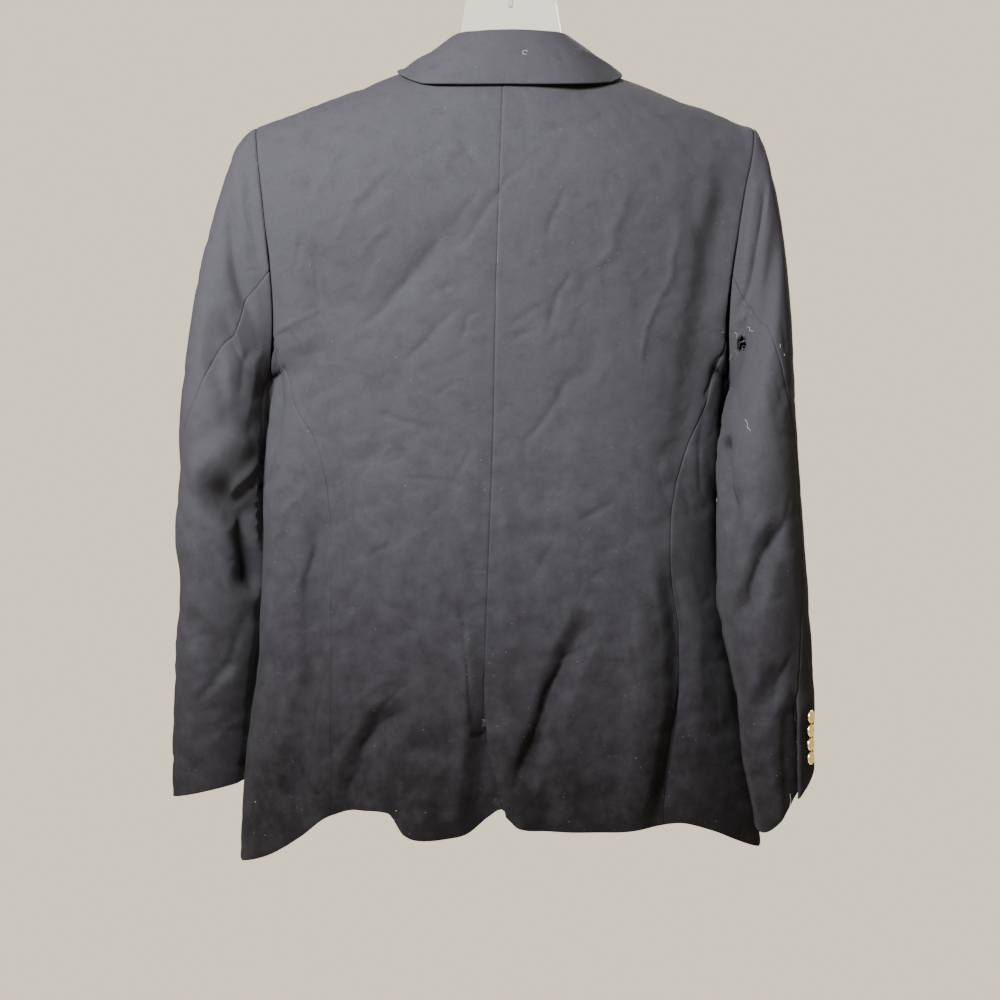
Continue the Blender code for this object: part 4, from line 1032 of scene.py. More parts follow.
@dataclass(frozen=True)
class PlatedSteel(Finish):
    """Drawn steel wire, nickel plated: bright, with fine drawing marks along it."""

    name: str = "nickel_plated_steel"
    shade: str = "#c9c8c4"
    rough: float = 0.22

    def sockets(self, tree: Tree, uv: Socket, spot: Socket) -> dict:
        """Drawing marks as changes of gloss."""
        marks = add(tree, "ShaderNodeTexNoise", {"Vector": spot, "Scale": 900.0, "Detail": 2.0})[0]
        gloss = add(tree, "ShaderNodeMapRange", {
            "Value": marks, "To Min": self.rough - 0.07, "To Max": self.rough + 0.10})[0]
        return {"Roughness": gloss, "Metallic": 1.0}


@dataclass(frozen=True)
class Thread(Finish):
    """Spun polyester or wool thread: matt, with light and dark turns."""

    turn: str
    scale: float = 1600.0
    rough: float = 0.8

    def sockets(self, tree: Tree, uv: Socket, spot: Socket) -> dict:
        """Two shades, mixed by the twist."""
        twist = add(tree, "ShaderNodeTexNoise", {"Vector": spot, "Scale": self.scale})[0]
        tint = add(tree, "ShaderNodeMix", {
            "Factor": twist, 6: colour(self.shade), 7: colour(self.turn)}, data_type="RGBA")[2]
        return {"Base Color": tint, "Roughness": self.rough}


@dataclass(frozen=True)
class PaintedBoard(Thread):
    """Board under brushed matt paint: two close shades in broad clouds."""

    name: str = "painted_board"
    shade: str = "#f1e8d8"
    turn: str = "#eae0cf"
    scale: float = 6.0
    rough: float = 0.5


@dataclass
class Finishes:
    """All materials of the object."""

    cloth: Material = field(default_factory=WorstedTwill().make)
    lining: Material = field(default_factory=SatinLining().make)
    gilt: Material = field(default_factory=GiltBrass().make)
    clear: Material = field(default_factory=ClearStyrene().make)
    steel: Material = field(default_factory=PlatedSteel().make)
    dark_thread: Material = field(
        default_factory=Thread("navy_polyester_thread", "#1b1b20", "#2a2a30").make)
    pale_thread: Material = field(
        default_factory=Thread("cotton_thread_end", "#625e5d", "#4a4746").make)
    lint: Material = field(
        default_factory=Thread("wool_lint", "#3b3a3e", "#262529").make)

    @property
    def lined(self) -> tuple[Material, Material]:
        """Cloth outside, lining inside."""
        return self.cloth, self.lining

    @property
    def double(self) -> tuple[Material, Material]:
        """Cloth on both faces."""
        return self.cloth, self.cloth


# ---- geometry node trees ----
class PieceTree:
    """A geometry tree whose last nodes make real faces and dress them."""

    title: str      # name of the tree
    inputs: dict    # name of each input, with its kind of socket and first value

    def __init__(self) -> None:
        """Builds the tree: its inputs, the subclass's own nodes, real faces, material."""
        self.tree = bpy.data.node_groups.new(self.title, "GeometryNodeTree")
        self.keys = {}
        for name, (kind, value) in {**self.inputs, "Material": ("Material", None)}.items():
            socket = self.tree.interface.new_socket(name, in_out="INPUT",
                                                    socket_type="NodeSocket" + kind)
            if value is not None:
                socket.default_value = value
            self.keys[name] = socket.identifier
        self.tree.interface.new_socket("Piece", in_out="OUTPUT", socket_type="NodeSocketGeometry")
        start = add(self.tree, "NodeGroupInput", {})
        real = add(self.tree, "GeometryNodeRealizeInstances", {0: self.shape(start)})[0]
        dress = add(self.tree, "GeometryNodeSetMaterial", {0: real, "Material": start["Material"]})
        add(self.tree, "NodeGroupOutput", {0: dress[0]})

    def shape(self, start: bpy.types.NodeOutputs) -> Socket:
        """The subclass's own nodes, from the tree's inputs to its geometry."""
        raise NotImplementedError

    def run(self, name: str, carrier: bpy.types.Mesh, values: dict) -> Piece:
        """Runs the tree on a mesh and keeps the result as a plain piece.

        Args:
            name: name of the piece.
            carrier: the points or lines that the tree works on.
            values: input name with its value.

        Returns:
            The piece, with no modifier left.
        """
        source = linked(name + "_source", carrier)
        modifier = source.modifiers.new("made", "NODES")
        modifier.node_group = self.tree
        for key, value in values.items():
            modifier[self.keys[key]] = value
        graph = bpy.context.evaluated_depsgraph_get()
        mesh = bpy.data.meshes.new_from_object(source.evaluated_get(graph), depsgraph=graph)
        mesh.name = name
        source.modifiers.remove(modifier)
        bpy.data.objects.remove(source)
        return linked(name, mesh)


def carrier_mesh(name: str, points: Array, edges: Sequence = (),
                 **vectors: Array) -> bpy.types.Mesh:
    """A mesh of points and lines, with named vector attributes for a tree."""
    mesh = bpy.data.meshes.new(name)
    mesh.from_pydata([tuple(map(float, p)) for p in points], [tuple(e) for e in edges], [])
    for key, value in vectors.items():
        layer = mesh.attributes.new(key, "FLOAT_VECTOR", "POINT")
        layer.data.foreach_set("vector", np.asarray(value, np.float32).reshape(-1))
    return mesh


class ThreadTree(PieceTree):
    """Tree that lays round thread along lines."""

    title = "thread_along_lines"
    inputs = {"Lines": ("Geometry", None), "Radius": ("Float", 0.0003)}

    def shape(self, start: bpy.types.NodeOutputs) -> Socket:
        """Line, curve, six-sided tube."""
        curve = add(self.tree, "GeometryNodeMeshToCurve", {0: start["Lines"]})[0]
        ring = add(self.tree, "GeometryNodeCurvePrimitiveCircle", {
            "Resolution": 6, "Radius": start["Radius"]})[0]
        tube = add(self.tree, "GeometryNodeCurveToMesh", {0: curve, 1: ring, "Fill Caps": True})[0]
        return add(self.tree, "GeometryNodeSetShadeSmooth", {0: tube})[0]

    def lay(self, name: str, paths: Sequence[Array], radius: float, finish: Material) -> Piece:
        """Threads along paths.

        Args:
            name: name of the piece.
            paths: points of each thread.
            radius: the thread's radius.
            finish: its material.

        Returns:
            All threads as one piece.
        """
        points = np.concatenate([np.asarray(p, float) for p in paths])
        edges, start = [], 0
        for path in paths:
            edges += [(start + i, start + i + 1) for i in range(len(path) - 1)]
            start += len(path)
        carrier = carrier_mesh(name, points, edges)
        return self.run(name, carrier, {"Radius": radius, "Material": finish})


class ScatterTree(PieceTree):
    """Tree that sets a copy of one shape on points, turned to their aim."""

    title = "copies_on_points"
    inputs = {"Points": ("Geometry", None), "Shape": ("Object", None),
              "Least size": ("Float", 1.0), "Most size": ("Float", 1.0)}

    def shape(self, start: bpy.types.NodeOutputs) -> Socket:
        """Points, then turned and sized copies."""
        shape = add(self.tree, "GeometryNodeObjectInfo", {0: start["Shape"]})["Geometry"]
        aim = add(self.tree, "GeometryNodeInputNamedAttribute", {"Name": "aim"},
                  data_type="FLOAT_VECTOR")[0]
        size = add(self.tree, "FunctionNodeRandomValue", {
            2: start["Least size"], 3: start["Most size"], "Seed": 7}, data_type="FLOAT")[1]
        facing = add(self.tree, "FunctionNodeAlignRotationToVector", {"Vector": aim}, axis="Z")[0]
        return add(self.tree, "GeometryNodeInstanceOnPoints", {
            0: start["Points"], "Instance": shape, "Rotation": facing, "Scale": size})[0]

    def scatter(self, name: str, points: Array, aims: Array, shape: Piece, finish: Material,
                sizes: tuple[float, float] = (1.0, 1.0)) -> Piece:
        """Copies of a shape on points; the shape itself is removed.

        Args:
            name: name of the piece.
            points: where the copies stand.
            aims: where their Z axis points.
            shape: the piece to copy.
            finish: its material.
            sizes: smallest and largest size of a copy.

        Returns:
            All copies as one piece.
        """
        piece = self.run(name, carrier_mesh(name, points, aim=aims), {
            "Shape": shape, "Least size": sizes[0], "Most size": sizes[1], "Material": finish})
        bpy.data.objects.remove(shape)
        return piece


def tube_faces(rows: int, sides: int) -> Array:
    """Faces between neighbouring rings of points."""
    index = np.arange(rows * sides).reshape(rows, sides)
    around = np.roll(index, -1, axis=1)
    return np.stack([index[:-1], around[:-1], around[1:], index[1:]], axis=-1).reshape(-1, 4)


def lathe(name: str, profile: Sequence[tuple[float, float]], sides: int = 36) -> Piece:
    """A closed round shape about Z; profile rows are radius and height, from pole to pole."""
    rows = [(max(radius, 1e-5), height) for radius, height in profile]
    turn = 2.0 * np.pi * np.arange(sides) / sides
    circle = list(zip(np.cos(turn), np.sin(turn)))
    points = np.array([(r * c, r * s, h) for r, h in rows for c, s in circle])
    return mesh_object(name, points, tube_faces(len(rows), sides), ())


def loft(name: str, rings: Array, finish: Material) -> Piece:
    """A closed tube through rings of points, its ends drawn to a point."""
    first, last = rings[:1].mean(axis=1, keepdims=True), rings[-1:].mean(axis=1, keepdims=True)
    rings = np.concatenate([mix(first, rings[:1], 0.002), rings, mix(last, rings[-1:], 0.002)])
    faces = outward_faces(rings, tube_faces(*rings.shape[:2]))
    return mesh_object(name, rings.reshape(-1, 3), faces, (finish,))


def outward_faces(rings: Array, faces: Array) -> Array:
    """Faces of a tube, turned so that they point away from its middle line."""
    points = rings.reshape(-1, 3)
    middle = np.repeat(rings.mean(axis=1), rings.shape[1], axis=0)
    a, b, c = points[faces[:, 0]], points[faces[:, 1]], points[faces[:, 2]]
    away = np.einsum("ij,ij->i", np.cross(b - a, c - a), a - middle[faces[:, 0]])
    return faces if away.sum() > 0.0 else faces[:, ::-1]


# ---- sub-assemblies ----
def place(piece: Piece, slot: str, *nodes: str) -> Piece:
    """A piece rides on the one body and stands for its solids, which it hides."""
    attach(piece, "root")
    if nodes:
        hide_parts(*nodes)
    return piece


def place_sheet(piece: Piece, node: str, flat: tuple[float, float], area: float,
                *rests_on: str, held: str = "hung") -> Piece:
    """A cloth piece in place of its solid.

    Args:
        piece: the finished piece.
        node: the solid that it stands for.
        flat: width and length of the cut, in metres; not used.
        area: area of the cut, in square metres; not used.
        rests_on: the pieces that carry it; not used.
        held: how they carry it; not used.

    Returns:
        The same piece.
    """
    place(piece, "navy_wool", node)
    return piece


BACK_CREASES = creases(
    (6.1, 1.6, -145, -233, -162, -267, -177, -301), (5.3, -2.0, -182, -315, -188, -332, -188, -352),
    (5.3, -2.2, -174, -324, -171, -361, -168, -376, -172, -386),
    (4.4, -1.0, -188, -376, -187, -388), (7.9, 2.0, -201, -388, -185, -412, -174, -440),
    (7.9, 1.6, -98, -257, -122, -276, -143, -305, -157, -332),
    (7.0, 1.3, -104, -311, -119, -322, -134, -345), (5.3, -1.0, -113, -336, -124, -349, -132, -371),
    (7.9, -2.2, -53, -317, -71, -337, -93, -362, -112, -384, -127, -396, -141, -405),
    (6.1, 1.0, -58, -344, -87, -374),
    (6.1, -1.6, 23, -256, -4, -276, -23, -302, -39, -326, -56, -338),
    (5.3, -1.1, -28, -283, -36, -296, -50, -311), (4.4, -1.0, -32, -245, -52, -257),
    (5.3, -1.2, -48, -363, -64, -371, -80, -378), (5.3, -1.7, -43, -382, -67, -404, -96, -434),
    (4.4, -1.3, -24, -387, -39, -392, -45, -416), (3.5, -0.9, -41, -429, -58, -433),
    (3.5, -0.8, -61, -446, -43, -442), (4.4, -0.9, -47, -447, -65, -461),
    (3.5, -0.7, -122, -443, -108, -445), (5.3, -1.5, 48, -276, 42, -293, 35, -306, 30, -330),
    (7.9, 2.0, 101, -268, 97, -301, 87, -320, 88, -334, 74, -348, 69, -365),
    (6.1, -1.7, 57, -349, 42, -370, 29, -413), (5.3, -1.4, 33, -379, 10, -392, -5, -402),
    (5.3, -1.3, 26, -403, 12, -407, -1, -413), (3.5, -0.8, -5, -429, 13, -428),
    (4.4, -0.8, 61, -392, 53, -403), (7.0, -1.6, 54, -436, 40, -466, 30, -480, 12, -501, 9, -532),
    (22.0, -4.5, 199, -250, 180, -320, 173, -363, 164, -429, 150, -522, 158, -584),
    (18.0, -3.6, -183, -270, -174, -363, -165, -429, -161, -474, -152, -540, -138, -664),
    (18.0, 4.5, 80, -628, 45, -700, 26, -755, -2, -815),
    (20.0, 5.0, 135, -575, 151, -668, 148, -745, 126, -860),
    (14.0, -2.6, -41, -630, -38, -713, -40, -775, -50, -850),
    (5.0, -3.6, 52, -674, 30, -726, 13, -768, -3, -815),
    (5.5, -3.0, -48, -621, -41, -677, -33, -746, -24, -772),
    (5.0, -3.0, 151, -700, 139, -764, 131, -812),
    (6.0, 1.6, 148, -300, 140, -352, 118, -400, 112, -452),
    (5.3, -1.4, -152, -510, -150, -531, -148, -548, -140, -571, -137, -592),
    (5.3, -1.6, -122, -474, -97, -481, -70, -489), (4.4, -1.4, -91, -513, -115, -523),
    (4.4, -1.0, -34, -503, -50, -532), (5.3, -1.4, -103, -533, -68, -534, -38, -540),
    (5.3, -1.2, -59, -555, -78, -572), (4.4, -1.0, -78, -581, -64, -588),
    (5.3, -1.5, -104, -590, -129, -606), (4.4, -0.8, -54, -596, -34, -598),
    (4.4, -0.9, -97, -626, -86, -633), (4.4, -1.3, -117, -639, -94, -650),
    (4.4, -1.2, -150, -646, -124, -645), (6.1, 1.1, -57, -617, -64, -640, -68, -668),
    (4.4, -0.9, -95, -664, -79, -668), (5.3, -1.0, -130, -693, -122, -695),
    (6.1, 1.3, -135, -740, -131, -724, -113, -711, -85, -705),
    (4.4, -1.4, -79, -705, -97, -716, -116, -738), (5.3, -1.6, 94, -553, 71, -563, 50, -574),
    (5.3, -1.3, 40, -585, 23, -612), (4.4, -1.0, 84, -608, 66, -622),
    (4.4, -1.0, 46, -637, 44, -651), (5.3, -1.0, 68, -632, 65, -648),
    (5.3, -1.2, 73, -660, 62, -672), (5.3, -1.5, 80, -672, 60, -684, 36, -692),
    (4.4, -1.2, 107, -642, 103, -669, 109, -705), (7.0, -2.0, 142, -615, 150, -648, 153, -672),
    (6.1, -1.4, 154, -543, 161, -569), (7.0, -1.8, 179, -460, 173, -484, 170, -514, 171, -555),
    (5.3, -2.4, -205, -519, -219, -532, -230, -539), (4.4, -2.0, -184, -517, -180, -540),
    (7.0, 2.0, -188, -524, -186, -546, -203, -560, -207, -580, -221, -597),
    (4.4, -1.4, -203, -580, -203, -605), (7.0, 1.6, -176, -583, -187, -621, -199, -642, -228, -665),
    (4.4, -1.6, -194, -637, -212, -655),
    (6.1, -2.4, -168, -560, -173, -588, -181, -619, -182, -650, -181, -711),
    (5.3, -1.6, -166, -630, -174, -650, -178, -673), (4.4, -1.4, -210, -486, -212, -507),
    (5.3, -2.6, -206, -701, -210, -723, -214, -747, -220, -768),
    (8.8, -2.2, -183, -718, -191, -734, -198, -756, -199, -786, -207, -828),
    (6.1, -2.6, -81, -728, -105, -743, -118, -752, -131, -769, -130, -781, -141, -799, -145, -821),
    (4.4, -1.6, -135, -723, -138, -751, -154, -767, -158, -776, -183, -790),
    (4.4, -1.2, 75, -748, 84, -765, 97, -779), (4.4, -1.0, 106, -687, 109, -708),
    (6.1, 0.9, 111, -725, 166, -742), (5.3, -0.8, 176, -702, 193, -716),
    (7.0, 0.9, 32, -726, 68, -717, 103, -725), (5.3, -0.9, -8, -587, 7, -604, 13, -630),
    (5.3, -2.4, 195, -415, 186, -429, 178, -453, 174, -468),
    (8.0, -7.0, -216, -404, -213, -436, -211, -466, -214, -492, -219, -520))
LEFT_CREASES = creases(
    (8.5, -5.0, -252, -270, -247, -318, -242, -352, -235, -375, -224, -400),
    (7.0, 1.6, -241, -257, -238, -290, -232, -322), (3.5, -1.2, -238, -293, -226, -313),
    (3.5, -1.2, -234, -329, -220, -341), (7.9, 2.2, -221, -405, -229, -430, -233, -456, -237, -490),
    (5.3, -1.8, -231, -414, -237, -436, -240, -466),
    (5.3, -2.6, -280, -583, -265, -607, -257, -629, -242, -653), (7.0, 1.5, -249, -606, -240, -634),
    (5.3, -2.8, -239, -654, -247, -678, -260, -708, -277, -727, -293, -742),
    (5.3, -1.4, -290, -594, -286, -633, -290, -678), (5.3, 1.2, -274, -642, -269, -688),
    (7.0, 1.4, -270, -770, -247, -750), (4.4, -1.0, -278, -765, -249, -760),
    (4.4, -1.2, -269, -482, -262, -508), (4.4, -1.0, -279, -512, -260, -526),
    (5.5, 3.0, -256, -552, -245, -537, -234, -528, -222, -506),
    (7.0, -4.5, -252, -560, -241, -546, -229, -538, -217, -520),
    (6.0, -3.5, -262, -592, -247, -609, -240, -630, -225, -645))
RIGHT_CREASES = creases(
    (5.5, -4.2, 228, -262, 222, -303, 215, -333, 210, -363, 204, -379, 198, -399),
    (7.0, 1.6, 219, -257, 213, -304, 206, -349), (3.5, -1.4, 209, -380, 216, -396),
    (6.1, 1.8, 208, -382, 206, -399), (5.3, -1.2, 228, -445, 237, -473),
    (7.0, 1.2, 216, -431, 221, -483), (4.4, -1.2, 237, -393, 239, -428),
    (5.3, -2.8, 241, -558, 234, -574, 218, -597, 207, -623, 205, -642, 189, -658),
    (4.4, -1.2, 237, -634, 215, -641), (4.4, -1.0, 204, -539, 205, -552),
    (4.4, -1.0, 242, -542, 236, -568), (5.3, -2.0, 243, -681, 234, -696, 227, -715, 221, -730),
    (4.4, -1.2, 201, -724, 221, -729), (4.4, -0.9, 194, -704, 204, -701),
    (6.1, 1.3, 209, -672, 213, -715), (6.1, 1.2, 197, -604, 192, -638),
    (5.3, -0.9, 207, -785, 226, -796), (5.3, 1.0, 221, -757, 227, -809),
    (4.6, -4.0, 193, -401, 194, -410, 194, -418),
    (3.0, -1.8, 205, -380, 209, -388, 213, -396, 215, -401), (5.0, 1.8, 204, -388, 206, -396))


@dataclass
class BodyPanels:
    """Two backs with a lapped vent, two sides and two fronts."""

    form: BodyForm
    finishes: Finishes
    relief: Relief
    calm_spot: tuple = (0.185, -0.430)    # beside the armpit, where the back is drawn smooth
    calm_radius: float = 0.026
    calm_passes: int = 90
    roll_length: float = 0.165            # cloth from the end of the straight part to the neck
    straight_length: float = 0.53
    neck_width: float = 0.070
    shoulder_width: float = 0.170
    front_width: float = 0.215
    side_length: float = 0.45
    side_half_width: float = 0.075
    hung: tuple = (Border.SEAM, Border.SEAM, Border.EDGE, Border.SEAM)   # only the hem is free

    def press(self, points: Array, normals: Array, side: Side) -> Array:
        """Points with the creases pressed in, calm beside the armhole and under the collar."""
        depth, x, z = self.relief.depth(points, normals), points[..., 0], points[..., 2]
        reach = np.abs(x) - np.abs(self.form.side_x(1.0, side is Side.LEFT)) + 0.012
        calm = smooth(reach / 0.010) * smooth((z + 0.450) / 0.012)
        under = smooth((z + 0.202) / 0.010) * smooth((0.118 - np.abs(x)) / 0.012)
        return points + normals * (depth * (1.0 - 0.85 * calm) * (1.0 - 0.8 * under))[..., None]

    def relaxed(self, points: Array) -> Array:
        """The back's points with the hollow beside the armpit drawn smooth; its border stays."""
        x, z = np.abs(points[..., 0]), points[..., 2]
        border = np.linalg.norm(points - points[:, -1:], axis=-1)
        far = (x - self.calm_spot[0]) ** 2 + (z - self.calm_spot[1]) ** 2
        weight = np.exp(-far / self.calm_radius ** 2) * smooth(border / 0.010)
        weight = (0.9 * weight * (weight > 0.02))[1:-1, 1:-1]
        y = points[..., 1].copy()
        for _ in range(self.calm_passes):
            near = (y[:-2, 1:-1] + y[2:, 1:-1] + y[1:-1, :-2] + y[1:-1, 2:]) / 4.0
            y[1:-1, 1:-1] = mix(y[1:-1, 1:-1], near, weight)
        return stack(points[..., 0], y, z)

    def shares(self, side: Side, spacing: float = STEP) -> Array:
        """Shares of the height for the rows, evenly spaced along the cloth."""
        start = self.form.roll_from
        lower = steps(self.straight_length, last=False, spacing=spacing) * start
        turn = steps(self.roll_length, first=False, spacing=spacing) * np.pi / 2.0
        upper = start + (1.0 - start) * np.sin(turn)
        return np.concatenate([lower[:-1], upper])

    def panel_normals(self, back: bool, u: Array, share: Array, points: Array, side: Side) -> Array:
        """Normals of a back or front, shared with the sleeve at the armhole."""
        own = self.form.normal(back, u, share)
        meet = self.form.armhole_share(side.edge, self.form.seam_end)
        at_arm = ((np.abs(u) > 0.9999) & (share >= meet))[..., None]
        return np.where(at_arm, self.form.arm_normal(side, points, own), own)

    def back(self, side: Side) -> Piece:
        """One back panel, from the centre seam to the side seam and the armhole."""
        form, edge = self.form, side.edge
        share = self.shares(side, FINE_STEP)
        z = form.height(True, 0.0, share)
        first = form.seam_u("centre_back", share, 0.0)
        if side is Side.LEFT:
            under = smooth((form.vent_top + 0.002 - z) / 0.012)
            slack = 0.0012 * smooth((form.vent_top + 0.050 - z) / 0.010)
            first = first + (under * form.underlap - slack) / form.side_x(share, False)
        neck = np.full(share.shape, float(form.u_of(form.middle + edge * form.neck_out, 1.0)))
        middle = steps(self.neck_width, last=False, spacing=FINE_STEP)
        beyond = steps(self.shoulder_width, first=False, spacing=FINE_STEP)
        u = np.concatenate([between(first, neck, middle)[:, :-1],
                            between(neck, form.outer_u(side, share), beyond)], axis=1)
        rows = np.broadcast_to(share[:, None], u.shape)
        base = self.relaxed(form.point(True, u, rows))
        normals = self.panel_normals(True, u, rows, base, side)
        points = self.press(form.lap_at_vent(base, side), normals, side)
        loose = smooth((form.vent_top + 0.004 - z) / 0.006)
        return Cloth(f"back_{side.value}_cloth", points, normals, edge_share=loose,
                     borders=self.hung).build(self.finishes.lined)

    def side(self, side: Side) -> Piece:
        """One side panel, from the side-back seam round to the side-front seam."""
        form, edge = self.form, side.edge
        pit = form.armhole_share(edge, form.armpit)
        meet = form.armhole_share(edge, form.seam_end)
        r, half = steps(self.side_length)[:, None], self.side_half_width
        w = np.concatenate([steps(half, last=False) - 1.0, steps(half, first=False)[1:]])[None, :]
        w = w * (1.0 - 0.06 * smooth((r - 0.94) / 0.05))
        back = w <= 0.0
        share = r * mix(pit, meet, np.abs(w) ** 1.5)
        seam = np.where(back, form.outer_u(side, share), form.outer_u(side, share, True))
        tucked = 1.0 - r ** 8 * (1.0 - np.abs(w) ** 8)
        u = edge * (1.0 - np.abs(w) * (1.0 - np.abs(seam)) * tucked)
        base = form.point(back, u, share)
        normals = form.normal(back, u, share)
        return Cloth(f"side_{side.value}_cloth", self.press(base, normals, side), normals,
                     borders=self.hung).build(self.finishes.lined)

    def front(self, side: Side) -> Piece:
        """One front, from the roll line and front edge to the side seam and the armhole."""
        form, edge = self.form, side.edge
        share = self.shares(side)
        z = form.height(False, edge * 0.2, share)
        first = form.u_of(form.front_x(side, z), share)
        places = steps(self.front_width, spacing=FRONT_STEP)
        u = between(first, form.outer_u(side, share, True), places)
        rows = np.broadcast_to(share[:, None], u.shape)
        base = form.point(False, u, rows)
        normals = self.panel_normals(False, u, rows, base, side)
        calm = smooth((np.abs(base[..., 0] - form.middle) - 0.03) / 0.05)[..., None]
        points = mix(base, self.press(base, normals, side), calm)
        points[..., 1] += form.front_lift(side, base[..., 0])
        return Cloth(f"front_{side.value}_cloth", points, normals,
                     borders=(Border.EDGE, *self.hung[1:])).build(self.finishes.lined)

    def build(self) -> list[Piece]:
        """All six panels, each in place of its solid."""
        cuts = ((self.back, "back", (0.25, 0.70), 0.135), (self.side, "side", (0.20, 0.47), 0.074),
                (self.front, "front", (0.26, 0.70), 0.128))
        return [place_sheet(maker(side), f"{kind}_{side.value}", cut, area, "hanger_body")
                for side in Side for maker, kind, cut, area in cuts]


@dataclass
class Sleeves:
    """Two-piece sleeves with a vent at the cuff."""

    body: BodyForm
    finishes: Finishes
    upper_width: float = 0.225
    under_width: float = 0.150
    tear_rows: Array = field(default_factory=lambda: np.arange(0.070, 0.130, 0.0016))
    tear_hole: tuple = ((0, 0.2045, 0.0030), (2, -0.4130, 0.0080))   # axis, middle, half size
    left: SleeveForm = field(init=False)
    right: SleeveForm = field(init=False)
    reliefs: dict = field(init=False)

    def __post_init__(self) -> None:
        """Sets both sleeves' forms and creases."""
        self.left = SleeveForm(self.body, Side.LEFT, rings=Table(
            "along outer_x outer_z inner_x inner_z back front lean skew",
            (0.08, -0.2545, -0.236, -0.2210, -0.446, -0.052, 0.052, 0.000, 0.000),
            (0.16, -0.2695, -0.294, -0.2230, -0.450, -0.057, 0.056, 0.000, 0.006),
            (0.25, -0.2805, -0.349, -0.2240, -0.458, -0.060, 0.058, 0.000, 0.009),
            (0.34, -0.2895, -0.410, -0.2240, -0.480, -0.061, 0.060, 0.000, 0.010),
            (0.43, -0.2985, -0.475, -0.2240, -0.515, -0.060, 0.060, 0.004, 0.010),
            (0.50, -0.2995, -0.530, -0.2240, -0.552, -0.052, 0.062, 0.006, 0.010),
            (0.58, -0.3050, -0.584, -0.2245, -0.592, -0.044, 0.064, 0.006, 0.010),
            (0.66, -0.3020, -0.625, -0.2260, -0.628, -0.036, 0.067, 0.004, 0.010),
            (0.77, -0.3085, -0.690, -0.2300, -0.688, -0.028, 0.070, 0.002, 0.009),
            (0.89, -0.3125, -0.760, -0.2370, -0.752, -0.020, 0.072, 0.000, 0.010),
            (1.00, -0.3135, -0.826, -0.2400, -0.812, -0.016, 0.072, 0.000, 0.010)), folds=(
            (((0.515, 80.0), (0.505, 116.0), (0.53, 144.0), (0.60, 154.0), (0.69, 150.0)),
             0.030, -0.018),
            (((0.50, 60.0), (0.45, 112.0), (0.38, 150.0)), 0.024, 0.006),
            (((0.16, 120.0), (0.26, 96.0), (0.36, 100.0)), 0.024, -0.006),
            (((0.70, 60.0), (0.76, 95.0), (0.82, 130.0)), 0.024, -0.006),
            (((0.44, 306.0), (0.49, 278.0), (0.51, 254.0)), 0.020, -0.008),))
        self.right = SleeveForm(self.body, Side.RIGHT, rings=Table(
            "along outer_x outer_z inner_x inner_z back front lean skew",
            (0.08, 0.2360, -0.243, 0.1990, -0.446, -0.054, 0.052, 0.000, 0.000),
            (0.16, 0.2455, -0.300, 0.1975, -0.450, -0.062, 0.054, 0.000, 0.000),
            (0.25, 0.2500, -0.348, 0.1940, -0.458, -0.070, 0.050, 0.000, 0.000),
            (0.34, 0.2530, -0.410, 0.1880, -0.480, -0.080, 0.040, 0.000, -0.002),
            (0.43, 0.2550, -0.475, 0.1840, -0.515, -0.088, 0.030, 0.004, -0.004),
            (0.50, 0.2575, -0.530, 0.1830, -0.550, -0.091, 0.024, 0.006, -0.006),
            (0.58, 0.2615, -0.590, 0.1830, -0.600, -0.092, 0.018, 0.008, -0.009),
            (0.66, 0.2650, -0.640, 0.1835, -0.650, -0.091, 0.012, 0.010, -0.012),
            (0.77, 0.2680, -0.696, 0.1985, -0.715, -0.090, 0.006, 0.018, -0.016),
            (0.89, 0.2685, -0.742, 0.2070, -0.775, -0.088, 0.004, 0.042, -0.018),
            (1.00, 0.2690, -0.783, 0.2175, -0.820, -0.086, 0.004, 0.064, -0.018)), folds=(
            (((0.10, 60.0), (0.24, 98.0), (0.38, 126.0)), 0.034, -0.004),
            (((0.385, 150.0), (0.44, 157.0), (0.49, 150.0), (0.545, 126.0)), 0.020, -0.014),
            (((0.55, 56.0), (0.58, 88.0), (0.635, 99.0), (0.668, 134.0)), 0.020, -0.007),
            (((0.74, 60.0), (0.79, 95.0), (0.83, 130.0)), 0.024, -0.006),
            (((0.44, 306.0), (0.49, 278.0), (0.51, 254.0)), 0.020, -0.008),))
        self.reliefs = {
            Side.LEFT: Relief(LEFT_CREASES, hidden_creases(RIGHT_CREASES, 5, -14.0), 31),
            Side.RIGHT: Relief(RIGHT_CREASES, hidden_creases(LEFT_CREASES, 5, -9.0), 47),
        }

    def form(self, side: Side) -> SleeveForm:
        """Form of one sleeve."""
        return self.left if side is Side.LEFT else self.right

